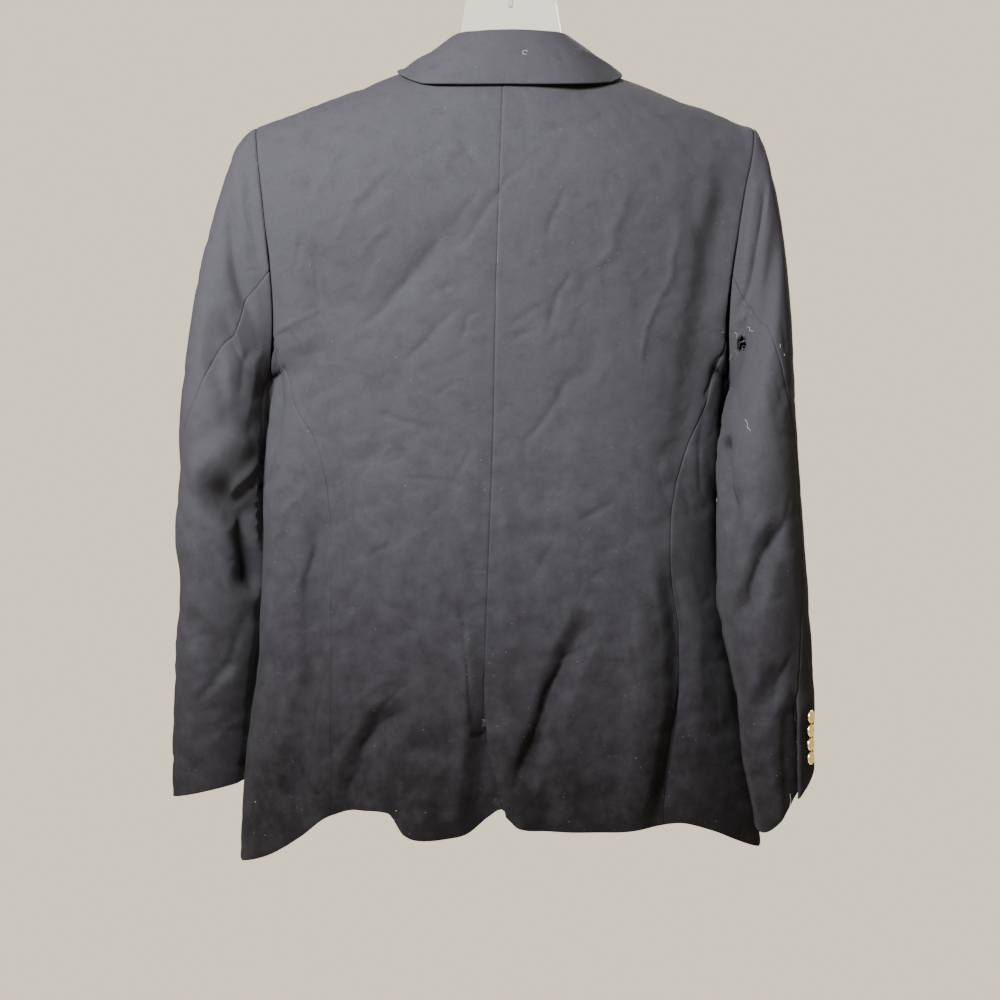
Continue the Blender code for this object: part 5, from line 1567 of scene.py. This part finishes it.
    def panel(self, side: Side, upper: bool) -> Piece:
        """One piece of a sleeve.

        Args:
            side: side of the jacket.
            upper: the piece over the outside of the arm, or else the one under it.

        Returns:
            The cloth piece.
        """
        form = self.form(side)
        q = steps(form.length)
        if side is Side.RIGHT and not upper:
            q = np.unique(np.concatenate([q, self.tear_rows]))
        elbow, forearm = (seam.at(side.value, q) for seam in (form.elbow_seam, form.forearm_seam))
        if upper:
            first, last, wide = forearm - 360.0, elbow, self.upper_width
        else:
            first = elbow - form.vent_turn * smooth((q - form.cuff_vent - 0.01) / 0.02)
            last, wide = forearm, self.under_width
        turn = mix(first[:, None], last[:, None], steps(wide)[None, :])
        rows = np.broadcast_to(q[:, None], turn.shape)
        past = (turn - elbow[:, None]) / form.vent_turn
        lift = self.body.vent_lift * (smooth(past + 3.0) if upper else -smooth(2.0 - past))
        own = form.normal(rows, turn)
        base = form.point(rows, turn)
        normals = np.where((rows == 0.0)[..., None], self.body.arm_normal(side, base, own), own)
        opened = smooth((rows - form.cuff_vent) / 0.05 + 1.0)
        depth = self.reliefs[side].depth(base, own) * smooth((rows - 0.005) / 0.03)
        points = base + own * (lift * opened + depth)[..., None]
        vent = smooth((q - form.cuff_vent) / 0.01)
        kind = "upper" if upper else "under"
        return Cloth(f"sleeve_{kind}_{side.value}_cloth", points, normals,
                     borders=(Border.SEAM,) * 3 + (Border.EDGE,),
                     edge_share=None if upper else vent,
                     keep=self.tear(side, upper, points)).build(self.finishes.lined)

    def tear(self, side: Side, upper: bool, points: Array) -> Array | None:
        """Cells to keep: all but the tear's ragged hole, in the right lower sleeve."""
        if side is Side.LEFT or upper:
            return None
        cells = (points[1:, 1:] + points[:-1, :-1]) / 2.0
        ragged = Rumple(5)(cells, 0.0035) * 0.22
        x, z = ((cells[..., axis] - middle) / half for axis, middle, half in self.tear_hole)
        return ~((x * x + z * z < 1.0 + ragged) & (cells[..., 1] < -0.02))

    def build(self) -> list[Piece]:
        """Four sleeve pieces, each in place of its solid."""
        cuts = (("upper", (0.20, 0.62), 0.082), ("under", (0.18, 0.52), 0.072))
        return [place_sheet(self.panel(side, kind == "upper"), f"sleeve_{kind}_{side.value}", cut,
                            area, f"back_{side.value}_cloth")
                for side in Side for kind, cut, area in cuts]


@dataclass
class CollarAndLapels:
    """Leaf and stand of the collar, and the two lapels turned back on the fronts."""

    body: BodyForm
    finishes: Finishes
    stations: Table = Table(    # points of the collar's three lines, from the middle outwards
        "seam fold edge",
        ((0.000, -0.0465, -0.1700), (0.000, -0.0470, -0.1355), (0.000, -0.0650, -0.1890)),
        ((0.030, -0.0400, -0.1665), (0.029, -0.0420, -0.1350), (0.038, -0.0640, -0.1885)),
        ((0.050, -0.0220, -0.1600), (0.049, -0.0270, -0.1325), (0.072, -0.0520, -0.1845)),
        ((0.062, 0.0030, -0.1500), (0.061, -0.0020, -0.1330), (0.097, -0.0260, -0.1745)),
        ((0.066, 0.0160, -0.1505), (0.064, 0.0150, -0.1400), (0.102, 0.0120, -0.1620)),
        ((0.062, 0.0340, -0.1680), (0.062, 0.0360, -0.1585), (0.107, 0.0440, -0.1720)),
        ((0.056, 0.0450, -0.1880), (0.056, 0.0520, -0.1815), (0.107, 0.0600, -0.1980)))
    rows: Table = Table(
        "height width rise", (-0.440, 0.004, 0.000), (-0.400, 0.022, 0.002), (-0.340, 0.046, 0.004),
        (-0.280, 0.064, 0.006), (-0.235, 0.074, 0.004), (-0.207, 0.058, -0.014))
    thick: float = 0.0026
    lapel_top: float = -0.207
    left_start: float = -0.385     # the left lapel ends where it would run under the right front

    def line(self, name: str, k: Array) -> Array:
        """Points of the collar's seam, fold or edge line; k runs -1 left to +1 right."""
        knots = np.array(self.stations.columns[name])
        count = len(knots)
        place_at = np.abs(k) * (count - 1)
        first = np.minimum(place_at.astype(int), count - 2)
        p0 = knots[np.maximum(first - 1, 0)]
        p1, p2 = knots[first], knots[first + 1]
        p3 = knots[np.minimum(first + 2, count - 1)]
        p0 = np.where((first == 0)[:, None], p2 * np.array((-1.0, 1.0, 1.0)), p0)
        t = (place_at - first)[:, None]
        bend, twist = 2 * p0 - 5 * p1 + 4 * p2 - p3, 3 * p1 - p0 - 3 * p2 + p3
        points = 0.5 * (2 * p1 + (p2 - p0) * t + bend * t * t + twist * t ** 3)
        points[:, 0] = np.copysign(points[:, 0], k)
        return points

    def clear_of_body(self, points: Array, need: float) -> Array:
        """The points, moved out of the body where they come nearer than they need to be."""
        spot, normal = self.body.on_body(points[..., 1] < 0.006, points[..., 0], points[..., 2])
        gap = np.einsum("...i,...i->...", points - spot, normal)
        return points + normal * np.maximum(0.0, need - gap)[..., None]

    def leaf(self) -> Piece:
        """The collar's leaf, rolled over at its fold."""
        k = np.linspace(-1.0, 1.0, 201)
        fold, edge = self.line("fold", k), self.line("edge", k)
        share = steps(0.060, first=False, spacing=0.0022)[:, None, None]
        grid = mix(fold[None], edge[None], share)
        away = unit(stack(grid[..., 0], grid[..., 1] - 0.01, np.full(grid.shape[:2], 0.03)))
        grid = grid + away * 0.004 * 4.0 * share * (1.0 - share)
        grid = self.clear_of_body(grid, self.thick + 2.0 * SEAM)
        normals = grid_normals(grid, (0.0, -1.0, 0.5))
        noise = Rumple(71)
        rumple = 0.35 * MM * noise(grid, 0.030) + 0.20 * MM * noise(grid + 1.0, 0.011)
        roll, thin, thick = 11, 0.0012, 0.0021
        grid, normals = rolled(grid + normals * rumple[..., None], normals, 0.0020, 205.0, roll)
        wall = np.full(grid.shape[:2], thick)
        wall[:roll] = thin
        wall[roll:roll + 6] = np.linspace(thin, thick, 6)[:, None]
        return Cloth("collar_fall_cloth", grid, normals, wall=wall,
                     borders=(Border.EDGE, Border.EDGE, Border.HIDDEN, Border.EDGE)
                     ).build(self.finishes.double)

    def stand(self) -> Piece:
        """The band that stands up inside the leaf."""
        k = np.linspace(-0.93, 0.93, 161)
        seam, fold = self.line("seam", k), self.line("fold", k)
        share = mix(0.03, 0.86, steps(0.034))[:, None, None]
        inward = stack(-fold[:, 0] * 0.05, np.where(np.abs(k) < 0.6, 0.0034, -0.0034), 0.0)
        grid = mix(seam[None], fold[None] + inward[None] * share, share)
        grid = grid + np.array((0.0, 0.0, 0.0006))
        normals = grid_normals(grid, (0.0, -1.0, 0.0))
        cloth = Cloth("collar_stand_cloth", grid, normals, wall=0.0018)
        return cloth.build(self.finishes.double)

    def lapel(self, side: Side) -> Piece:
        """One lapel, rolled over at the front's edge."""
        start = self.left_start if side is Side.LEFT else self.rows.columns["height"][0]
        z = mix(start, self.lapel_top, steps(0.24))[:, None]
        width, rise = self.rows.at("width", z), self.rows.at("rise", z)
        c = steps(0.070, first=False)[None, :]
        x = self.body.front_x(side, z) + side.edge * width * c
        lift = self.body.front_lift(side, x) + WALL + SEAM + 0.0006
        grid, _ = self.body.on_body(False, x, z + rise * c, lift)
        normals = grid_normals(grid, (0.0, 1.0, 0.0))
        rumple = 0.25 * MM * (1.0 + Rumple(83)(grid, 0.025)) * np.minimum(1.0, c * 8.0)
        grid, normals = rolled((grid + normals * rumple[..., None]).swapaxes(0, 1),
                               normals.swapaxes(0, 1), 0.0024, 180.0, 10)
        return Cloth(f"lapel_{side.value}_cloth", grid.swapaxes(0, 1), normals.swapaxes(0, 1),
                     wall=0.0014, borders=(Border.HIDDEN,) + (Border.EDGE,) * 3
                     ).build(self.finishes.double)

    def build(self) -> list[Piece]:
        """Leaf, stand and lapels, each in place of its solid."""
        leaf, stand = self.leaf(), self.stand()
        place_sheet(stand, "collar_stand", (0.27, 0.034), 0.0058, "back_left_cloth",
                    "back_right_cloth", held="folded")
        place_sheet(leaf, "collar_fall", (0.40, 0.075), 0.023, "collar_stand_cloth", held="folded")
        return [leaf, stand] + [
            place_sheet(self.lapel(side), f"lapel_{side.value}", (0.085, 0.24), 0.0115,
                        f"front_{side.value}_cloth", held="folded") for side in Side]


def rolled(grid: Array, normals: Array, radius: float, sweep: float,
           count: int) -> tuple[Array, Array]:
    """Adds a rolled fold before a grid's first row.

    Args:
        grid: rows of points, the first at the fold.
        normals: their outward normals.
        radius: outer radius of the roll.
        sweep: how far it turns, in degrees.
        count: how many rows it gets.

    Returns:
        The longer grid and its normals.
    """
    down, out = unit(grid[1] - grid[0]), normals[0]
    down = unit(down - out * np.sum(down * out, axis=-1, keepdims=True))
    middle = grid[0] - out * radius
    turns = np.radians(np.linspace(sweep, 0.0, count, endpoint=False))
    aims = np.array([out * math.cos(turn) - down * math.sin(turn) for turn in turns])
    return np.concatenate([middle[None] + aims * radius, grid]), np.concatenate([aims, normals])


@dataclass
class Buttons:
    """Domed shank buttons: three on the front, four at each cuff."""

    body: BodyForm
    sleeves: Sleeves
    finishes: Finishes
    copies: ScatterTree
    front_size: tuple = (0.0200, 0.0060)
    cuff_size: tuple = (0.0114, 0.0048)
    heights: tuple = (-0.490, -0.585, -0.680)
    cuff_count: int = 4
    pitch: float = 0.0118
    first: float = 0.940      # place of the lowest along the sleeve
    turn: float = 14.0        # degrees from the elbow seam

    def shape(self, size: tuple[float, float]) -> Piece:
        """One button about Z: turned-in back, rolled rim, fine groove and a low dome."""
        r, t = size[0] / 2.0, size[1]
        profile = (
            (0.0, 0.02), (0.30, 0.02), (0.42, 0.05), (0.80, 0.16), (0.93, 0.27), (0.985, 0.36),
            (1.0, 0.46), (0.985, 0.56), (0.94, 0.64), (0.88, 0.67), (0.83, 0.655), (0.79, 0.66),
            (0.74, 0.72), (0.64, 0.80), (0.50, 0.89), (0.34, 0.955), (0.17, 0.99), (0.0, 1.0))
        return lathe("button_shape", [(radius * r, height * t) for radius, height in profile])

    def cuff_spots(self, side: Side) -> tuple[Array, Array]:
        """Places and aims of a cuff's buttons, in a touching row beside the vent."""
        form, q, spots, aims = self.sleeves.form(side), self.first, [], []
        for _ in range(self.cuff_count):
            turn = float(form.elbow_seam.at(side.value, q)) - self.turn
            spot, aim = form.point(q, turn), form.normal(q, turn)
            spots.append(spot + aim * (self.body.vent_lift + 0.0002 + SEAM))
            aims.append(aim)
            q -= self.pitch * 0.02 / float(np.linalg.norm(spot - form.point(q - 0.02, turn)))
        return np.array(spots), np.array(aims)

    def front_spots(self) -> tuple[Array, Array]:
        """Places and aims of the front's buttons, down its middle."""
        across = np.full(len(self.heights), self.body.middle)
        spots, aims = self.body.on_body(False, across, np.array(self.heights))
        spots[:, 1] += self.body.front_lift(Side.RIGHT, self.body.middle)
        return spots + aims * SEAM, aims

    def row(self, node: str, places: tuple[Array, Array], size: tuple[float, float]) -> Piece:
        """One row of buttons, in place of its solids.

        Args:
            node: name of the solids, without their number.
            places: the buttons' places and aims.
            size: their diameter and height.

        Returns:
            The row as one piece.
        """
        spots, aims = places
        name = node.replace("button", "buttons")
        piece = self.copies.scatter(name, spots, aims, self.shape(size), self.finishes.gilt)
        return place(piece, "gilt_brass", *[f"{node}_{i + 1}" for i in range(len(spots))])

    def build(self) -> list[Piece]:
        """Front and cuff buttons, in place of their solids."""
        return [self.row("front_button", self.front_spots(), self.front_size)] + [
            self.row(f"cuff_button_{side.value}", self.cuff_spots(side), self.cuff_size)
            for side in Side]


@dataclass
class Draper:
    """Finds the cloth's surface under a place, seen from behind or from the front."""

    pieces: Sequence[Piece]
    cloth: BVHTree = field(init=False)

    def __post_init__(self) -> None:
        """Gathers the faces of all pieces."""
        points, faces, start = [], [], 0
        for piece in self.pieces:
            mesh = piece.data
            spots, corners = np.empty(len(mesh.vertices) * 3), np.empty(len(mesh.loops), int)
            mesh.vertices.foreach_get("co", spots)
            mesh.loops.foreach_get("vertex_index", corners)
            points.append(spots.reshape(-1, 3))
            faces.append(corners.reshape(-1, 4) + start)
            start += len(mesh.vertices)
        self.cloth = BVHTree.FromPolygons(np.concatenate(points).tolist(),
                                          np.concatenate(faces).tolist())

    def under(self, x: float, z: float, facing: float = -1.0) -> tuple[Array, Array] | None:
        """Point and normal of the cloth at x and z, seen from behind (-1) or the front (+1)."""
        spot, normal, _, _ = self.cloth.ray_cast((x, 0.6 * facing, z), (0.0, -facing, 0.0))
        return None if spot is None else (np.array(spot), np.array(normal))

    def lie(self, path: Sequence, lift: float, facing: float = -1.0) -> Array:
        """A path of x, z in millimetres laid on the cloth, at a lift above it."""
        found = [self.under(x * MM, z * MM, facing) for x, z in path]
        return np.array([hit[0] + hit[1] * lift for hit in found if hit is not None])


@dataclass
class Sewing:
    """Bar tack, buttonholes, the tear's frayed yarns, thread ends and lint."""

    draper: Draper
    finishes: Finishes
    threads: ThreadTree
    copies: ScatterTree
    tack: tuple = (-23.8, -742.0)
    tear: tuple = (203.6, -413.0)
    holes: tuple = (-490.0, -585.0, -680.0)
    ends: tuple = (
        ((232.3, -416.8), (232.9, -418.6), (232.4, -420.4)), ((236.2, -424.9), (236.9, -427.0)),
        ((201.9, -482.5), (203.2, -485.6), (203.0, -489.3), (205.3, -492.8)),
        ((199.3, -402.7), (201.6, -404.0), (200.9, -406.4), (203.6, -408.3)),
        ((208.8, -399.2), (210.4, -400.4), (209.9, -402.6), (212.3, -404.2)),
        ((198.6, -421.0), (197.2, -424.6), (195.6, -428.0)),
        ((240.4, -806.0), (241.3, -812.0), (240.1, -817.0)),
    )
    dots: tuple = ((-229.3, -822.9), (-99.6, -820.6), (188.4, -402.6))
    ring: tuple = (11.9, -159.7)
    ring_size: float = 2.1
    back_lint: int = 460
    front_lint: int = 150

    def bar_tack(self) -> Array:
        """Zigzag of thread across the top of the vent."""
        x, z = self.tack
        path = [(x + (1.6 if i % 2 else -1.6), z - 0.55 * i) for i in range(14)]
        return self.draper.lie(path, 0.0003)

    def buttonhole(self, z: float) -> Array:
        """Worked buttonhole: stitches round a slit with a round eye."""
        path, stitches = [], 96
        for i in range(stitches + 1):
            turn = 2.0 * math.pi * i / stitches
            reach, rise = (1.9, 0.4) if i % 2 else (0.9, 0.0)
            path.append((4.0 + 11.0 * math.cos(turn), z + reach * math.sin(turn) + rise))
        return self.draper.lie(path, 0.0003, 1.0)

    def frays(self) -> list[Array]:
        """Broken yarns that hang into the lower half of the tear from its rim."""
        chance, made = np.random.default_rng(23), []
        for i in range(26):
            turn = math.radians(chance.uniform(150.0, 390.0))
            rim = (self.tear[0] + 3.9 * math.cos(turn), self.tear[1] + 8.9 * math.sin(turn))
            start = self.draper.under(rim[0] * MM, rim[1] * MM)
            if start is None:
                continue
            aim = np.array((-math.cos(turn) * chance.uniform(2.0, 5.5), chance.uniform(-0.8, 0.4),
                            -math.sin(turn) * chance.uniform(0.5, 4.0) - 1.0)) * MM
            bow = chance.normal(0.0, 0.7, 3) * MM
            share = np.linspace(0.0, 1.0, 7)[:, None]
            yarn = aim * share + bow * 4.0 * share * (1.0 - share)
            made.append(start[0] + start[1] * 0.0002 + yarn)
        return made

    def lint(self) -> Piece:
        """Specks of lint and short fibres caught in the nap, front and back."""
        chance, spots, aims = np.random.default_rng(7), [], []
        for facing, count in ((-1.0, self.back_lint), (1.0, self.front_lint)):
            for _ in range(count):
                x, z = chance.uniform(-0.30, 0.27), chance.uniform(-0.86, -0.15)
                hit = self.draper.under(x, z, facing)
                if hit is not None:
                    spots.append(hit[0] + hit[1] * 0.00015)
                    aims.append(np.cross(hit[1], chance.normal(size=3)))
        shape = lathe("lint_shape", ((0.0, -0.00055), (0.00016, -0.0003), (0.0002, 0.0),
                                     (0.00014, 0.0004), (0.0, 0.0006)), 6)
        return self.copies.scatter("cloth_lint", np.array(spots), np.array(aims), shape,
                                   self.finishes.lint, (0.35, 1.15))

    def build(self) -> list[Piece]:
        """All sewing and thread pieces."""
        x, z = self.ring
        loop = [(x + self.ring_size * math.cos(a), z + self.ring_size * math.sin(a))
                for a in np.linspace(0.3, 5.6, 16)]
        dots = [((dx - 0.7, dz), (dx, dz + 0.3), (dx + 0.7, dz)) for dx, dz in self.dots]
        dark = [self.bar_tack()] + [self.buttonhole(height) for height in self.holes]
        pale = [self.draper.lie(path, 0.00025) for path in [*self.ends, *dots, loop]]
        lay, finishes = self.threads.lay, self.finishes
        made = [lay("stitching", dark, 0.00028, finishes.dark_thread),
                lay("tear_yarns", self.frays(), 0.00013, finishes.lint),
                lay("thread_ends", pale, 0.00019, finishes.pale_thread), self.lint()]
        return [place(piece, "navy_wool") for piece in made]


@dataclass
class Hanger:
    """Moulded clear hanger with a plated wire hook."""

    finishes: Finishes
    rows: Table = Table(
        "out top deep half", (0.000, -0.0760, -0.172, 0.0070), (0.020, -0.0770, -0.172, 0.0070),
        (0.034, -0.0810, -0.173, 0.0070), (0.0410, -0.0900, -0.174, 0.0070),
        (0.0440, -0.1080, -0.176, 0.0070), (0.0470, -0.1260, -0.178, 0.0070),
        (0.0510, -0.1500, -0.184, 0.0070), (0.0580, -0.1600, -0.190, 0.0072),
        (0.0740, -0.1605, -0.197, 0.0080), (0.1000, -0.1674, -0.206, 0.0095),
        (0.1300, -0.1788, -0.218, 0.0110), (0.1600, -0.1923, -0.230, 0.0120),
        (0.1850, -0.2033, -0.238, 0.0120), (0.1950, -0.2130, -0.236, 0.0090))
    plane: float = 0.004
    tilt: float = 0.0185
    wire: float = 0.0022
    bend: float = 0.0180
    stem_end: float = -0.0990

    def body(self) -> Piece:
        """The moulded body, through smooth sections."""
        out = np.concatenate([np.linspace(0.0, 0.034, 12), np.linspace(0.0345, 0.060, 40)[1:],
                              np.linspace(0.062, 0.195, 48)])
        out = np.concatenate([-out[:0:-1], out])
        reach = np.abs(out)
        knots, *columns = self.rows.columns.values()
        top, deep, half = (np.interp(reach, knots, column) for column in columns)
        blunt = np.sqrt(np.clip((0.1956 - reach) / 0.006, 0.0, 1.0))
        middle, half_z = (top + deep) / 2.0, (top - deep) / 2.0 * blunt
        turn = 2.0 * np.pi * (np.arange(40) + 0.5) / 40
        cosine, sine = np.cos(turn)[None, :], np.sin(turn)[None, :]
        across, rise = (np.copysign(np.abs(wave) ** power, wave)
                        for wave, power in ((cosine, 0.4), (sine, 0.3)))
        y = self.plane + (half * blunt)[:, None] * across
        z = middle[:, None] + half_z[:, None] * rise - self.tilt * out[:, None]
        return loft("hanger_moulding", stack(out[:, None], y, z), self.finishes.clear)

    def hook(self) -> Piece:
        """The wire hook: stem, bend to one side, over the top and down."""
        radius = self.bend + self.wire
        path = [(0.0, self.plane, z) for z in (self.stem_end, -0.090, -0.080, -0.071, -0.064)]
        path += [(0.0015, self.plane, -0.054), (0.0080, self.plane, -0.0440)]
        for step in range(13):
            angle = math.radians(-42.0 + step * 19.0)
            path.append((radius * math.cos(angle), self.plane * (1.0 - float(smooth(step / 4.0))),
                         radius * math.sin(angle) - self.bend))
        fine = np.linspace(0.0, len(path) - 1.0, 150)
        line = np.stack([Curve(range(len(path)), column)(fine) for column in zip(*path)], axis=-1)
        ahead = unit(np.gradient(line, axis=0))
        up = unit(np.cross(ahead, np.array((0.0, 1.0, 0.0))))
        over = np.cross(up, ahead)
        turn = 2.0 * np.pi * np.arange(20) / 20
        to_end = np.minimum(fine + 0.02, fine[-1] - fine + 0.02)
        size = self.wire * np.sqrt(np.clip(to_end / 0.12, 0.0, 1.0))
        cosine, sine = np.cos(turn)[None, :, None], np.sin(turn)[None, :, None]
        round_wire = over[:, None] * cosine + up[:, None] * sine
        return loft("hanger_wire", line[:, None] + size[:, None, None] * round_wire,
                    self.finishes.steel)

    def build(self) -> list[Piece]:
        """Hanger and hook, in place of their solids."""
        return [place(self.body(), "clear_plastic", "hanger_body"),
                place(self.hook(), "plated_steel", "hanger_hook")]


@dataclass
class Studio:
    """Pale floor, soft light and the camera of the photograph's back view."""

    spot: tuple = (-0.010, -1.25, -0.552)
    lens: float = 48.92
    air: str = "#fbecd2"
    air_strength: float = 1.25

    def build(self) -> None:
        """Floor, world, lamps and camera."""
        disc = ((0.0, -1.31), (0.70, -1.31), (0.70, -1.30), (0.0, -1.30))
        floor = lathe("studio_floor", disc, 64)
        floor.data.materials.append(PaintedBoard().make())
        world = bpy.data.worlds.new("studio_air")
        world.use_nodes = True
        feed(world.node_tree, world.node_tree.nodes["Background"],
             {"Color": colour(self.air), "Strength": self.air_strength})
        bpy.context.scene.world = world
        self.lamp("key", (-0.50, -0.95, 0.08), (0.03, 0.0, -0.42), 0.36, 160.0)
        self.lamp("fill", (0.5, 1.4, 0.5), (0.0, 0.0, -0.45), 1.2, 120.0)
        camera = bpy.data.cameras.new("camera")
        camera.lens, camera.sensor_width = self.lens, 36.0
        holder = linked("camera", camera)
        holder.location = self.spot
        holder.rotation_euler = (math.pi / 2.0, 0.0, 0.0)
        bpy.context.scene.camera = holder

    @staticmethod
    def lamp(name: str, spot: tuple, aim: tuple, size: float, watts: float) -> None:
        """One soft square lamp, unseen itself.

        Args:
            name: name of the lamp.
            spot: where it stands.
            aim: what it points at.
            size: length of its side, in metres.
            watts: its power.
        """
        light = bpy.data.lights.new(name, "AREA")
        light.size, light.energy, light.color = size, watts, (1.0, 0.985, 0.98)
        holder = linked(name, light)
        holder.location = spot
        ahead = np.array(aim) - np.array(spot)
        holder.rotation_euler = (math.acos(-ahead[2] / np.linalg.norm(ahead)), 0.0,
                                 math.atan2(ahead[1], ahead[0]) - math.pi / 2.0)
        holder.visible_camera = False
        holder.visible_transmission = False


def main() -> None:
    """Builds the jacket piece by piece, then its hanger and the studio."""
    logging.basicConfig(level=logging.INFO, format="%(message)s")
    finishes, body = Finishes(), BodyForm()
    relief = Relief(BACK_CREASES, hidden_creases(BACK_CREASES, 3, -6.0), 19)
    sleeves = Sleeves(body, finishes)
    made = BodyPanels(body, finishes, relief).build()
    made += sleeves.build()
    made += CollarAndLapels(body, finishes).build()
    copies = ScatterTree()
    made += Sewing(Draper(list(made)), finishes, ThreadTree(), copies).build()
    made += Buttons(body, sleeves, finishes, copies).build()
    made += Hanger(finishes).build()
    for piece in made:
        LOG.info("%s: %d points", piece.name, len(piece.data.vertices))
    Studio().build()


if __name__ == "__main__":
    main()
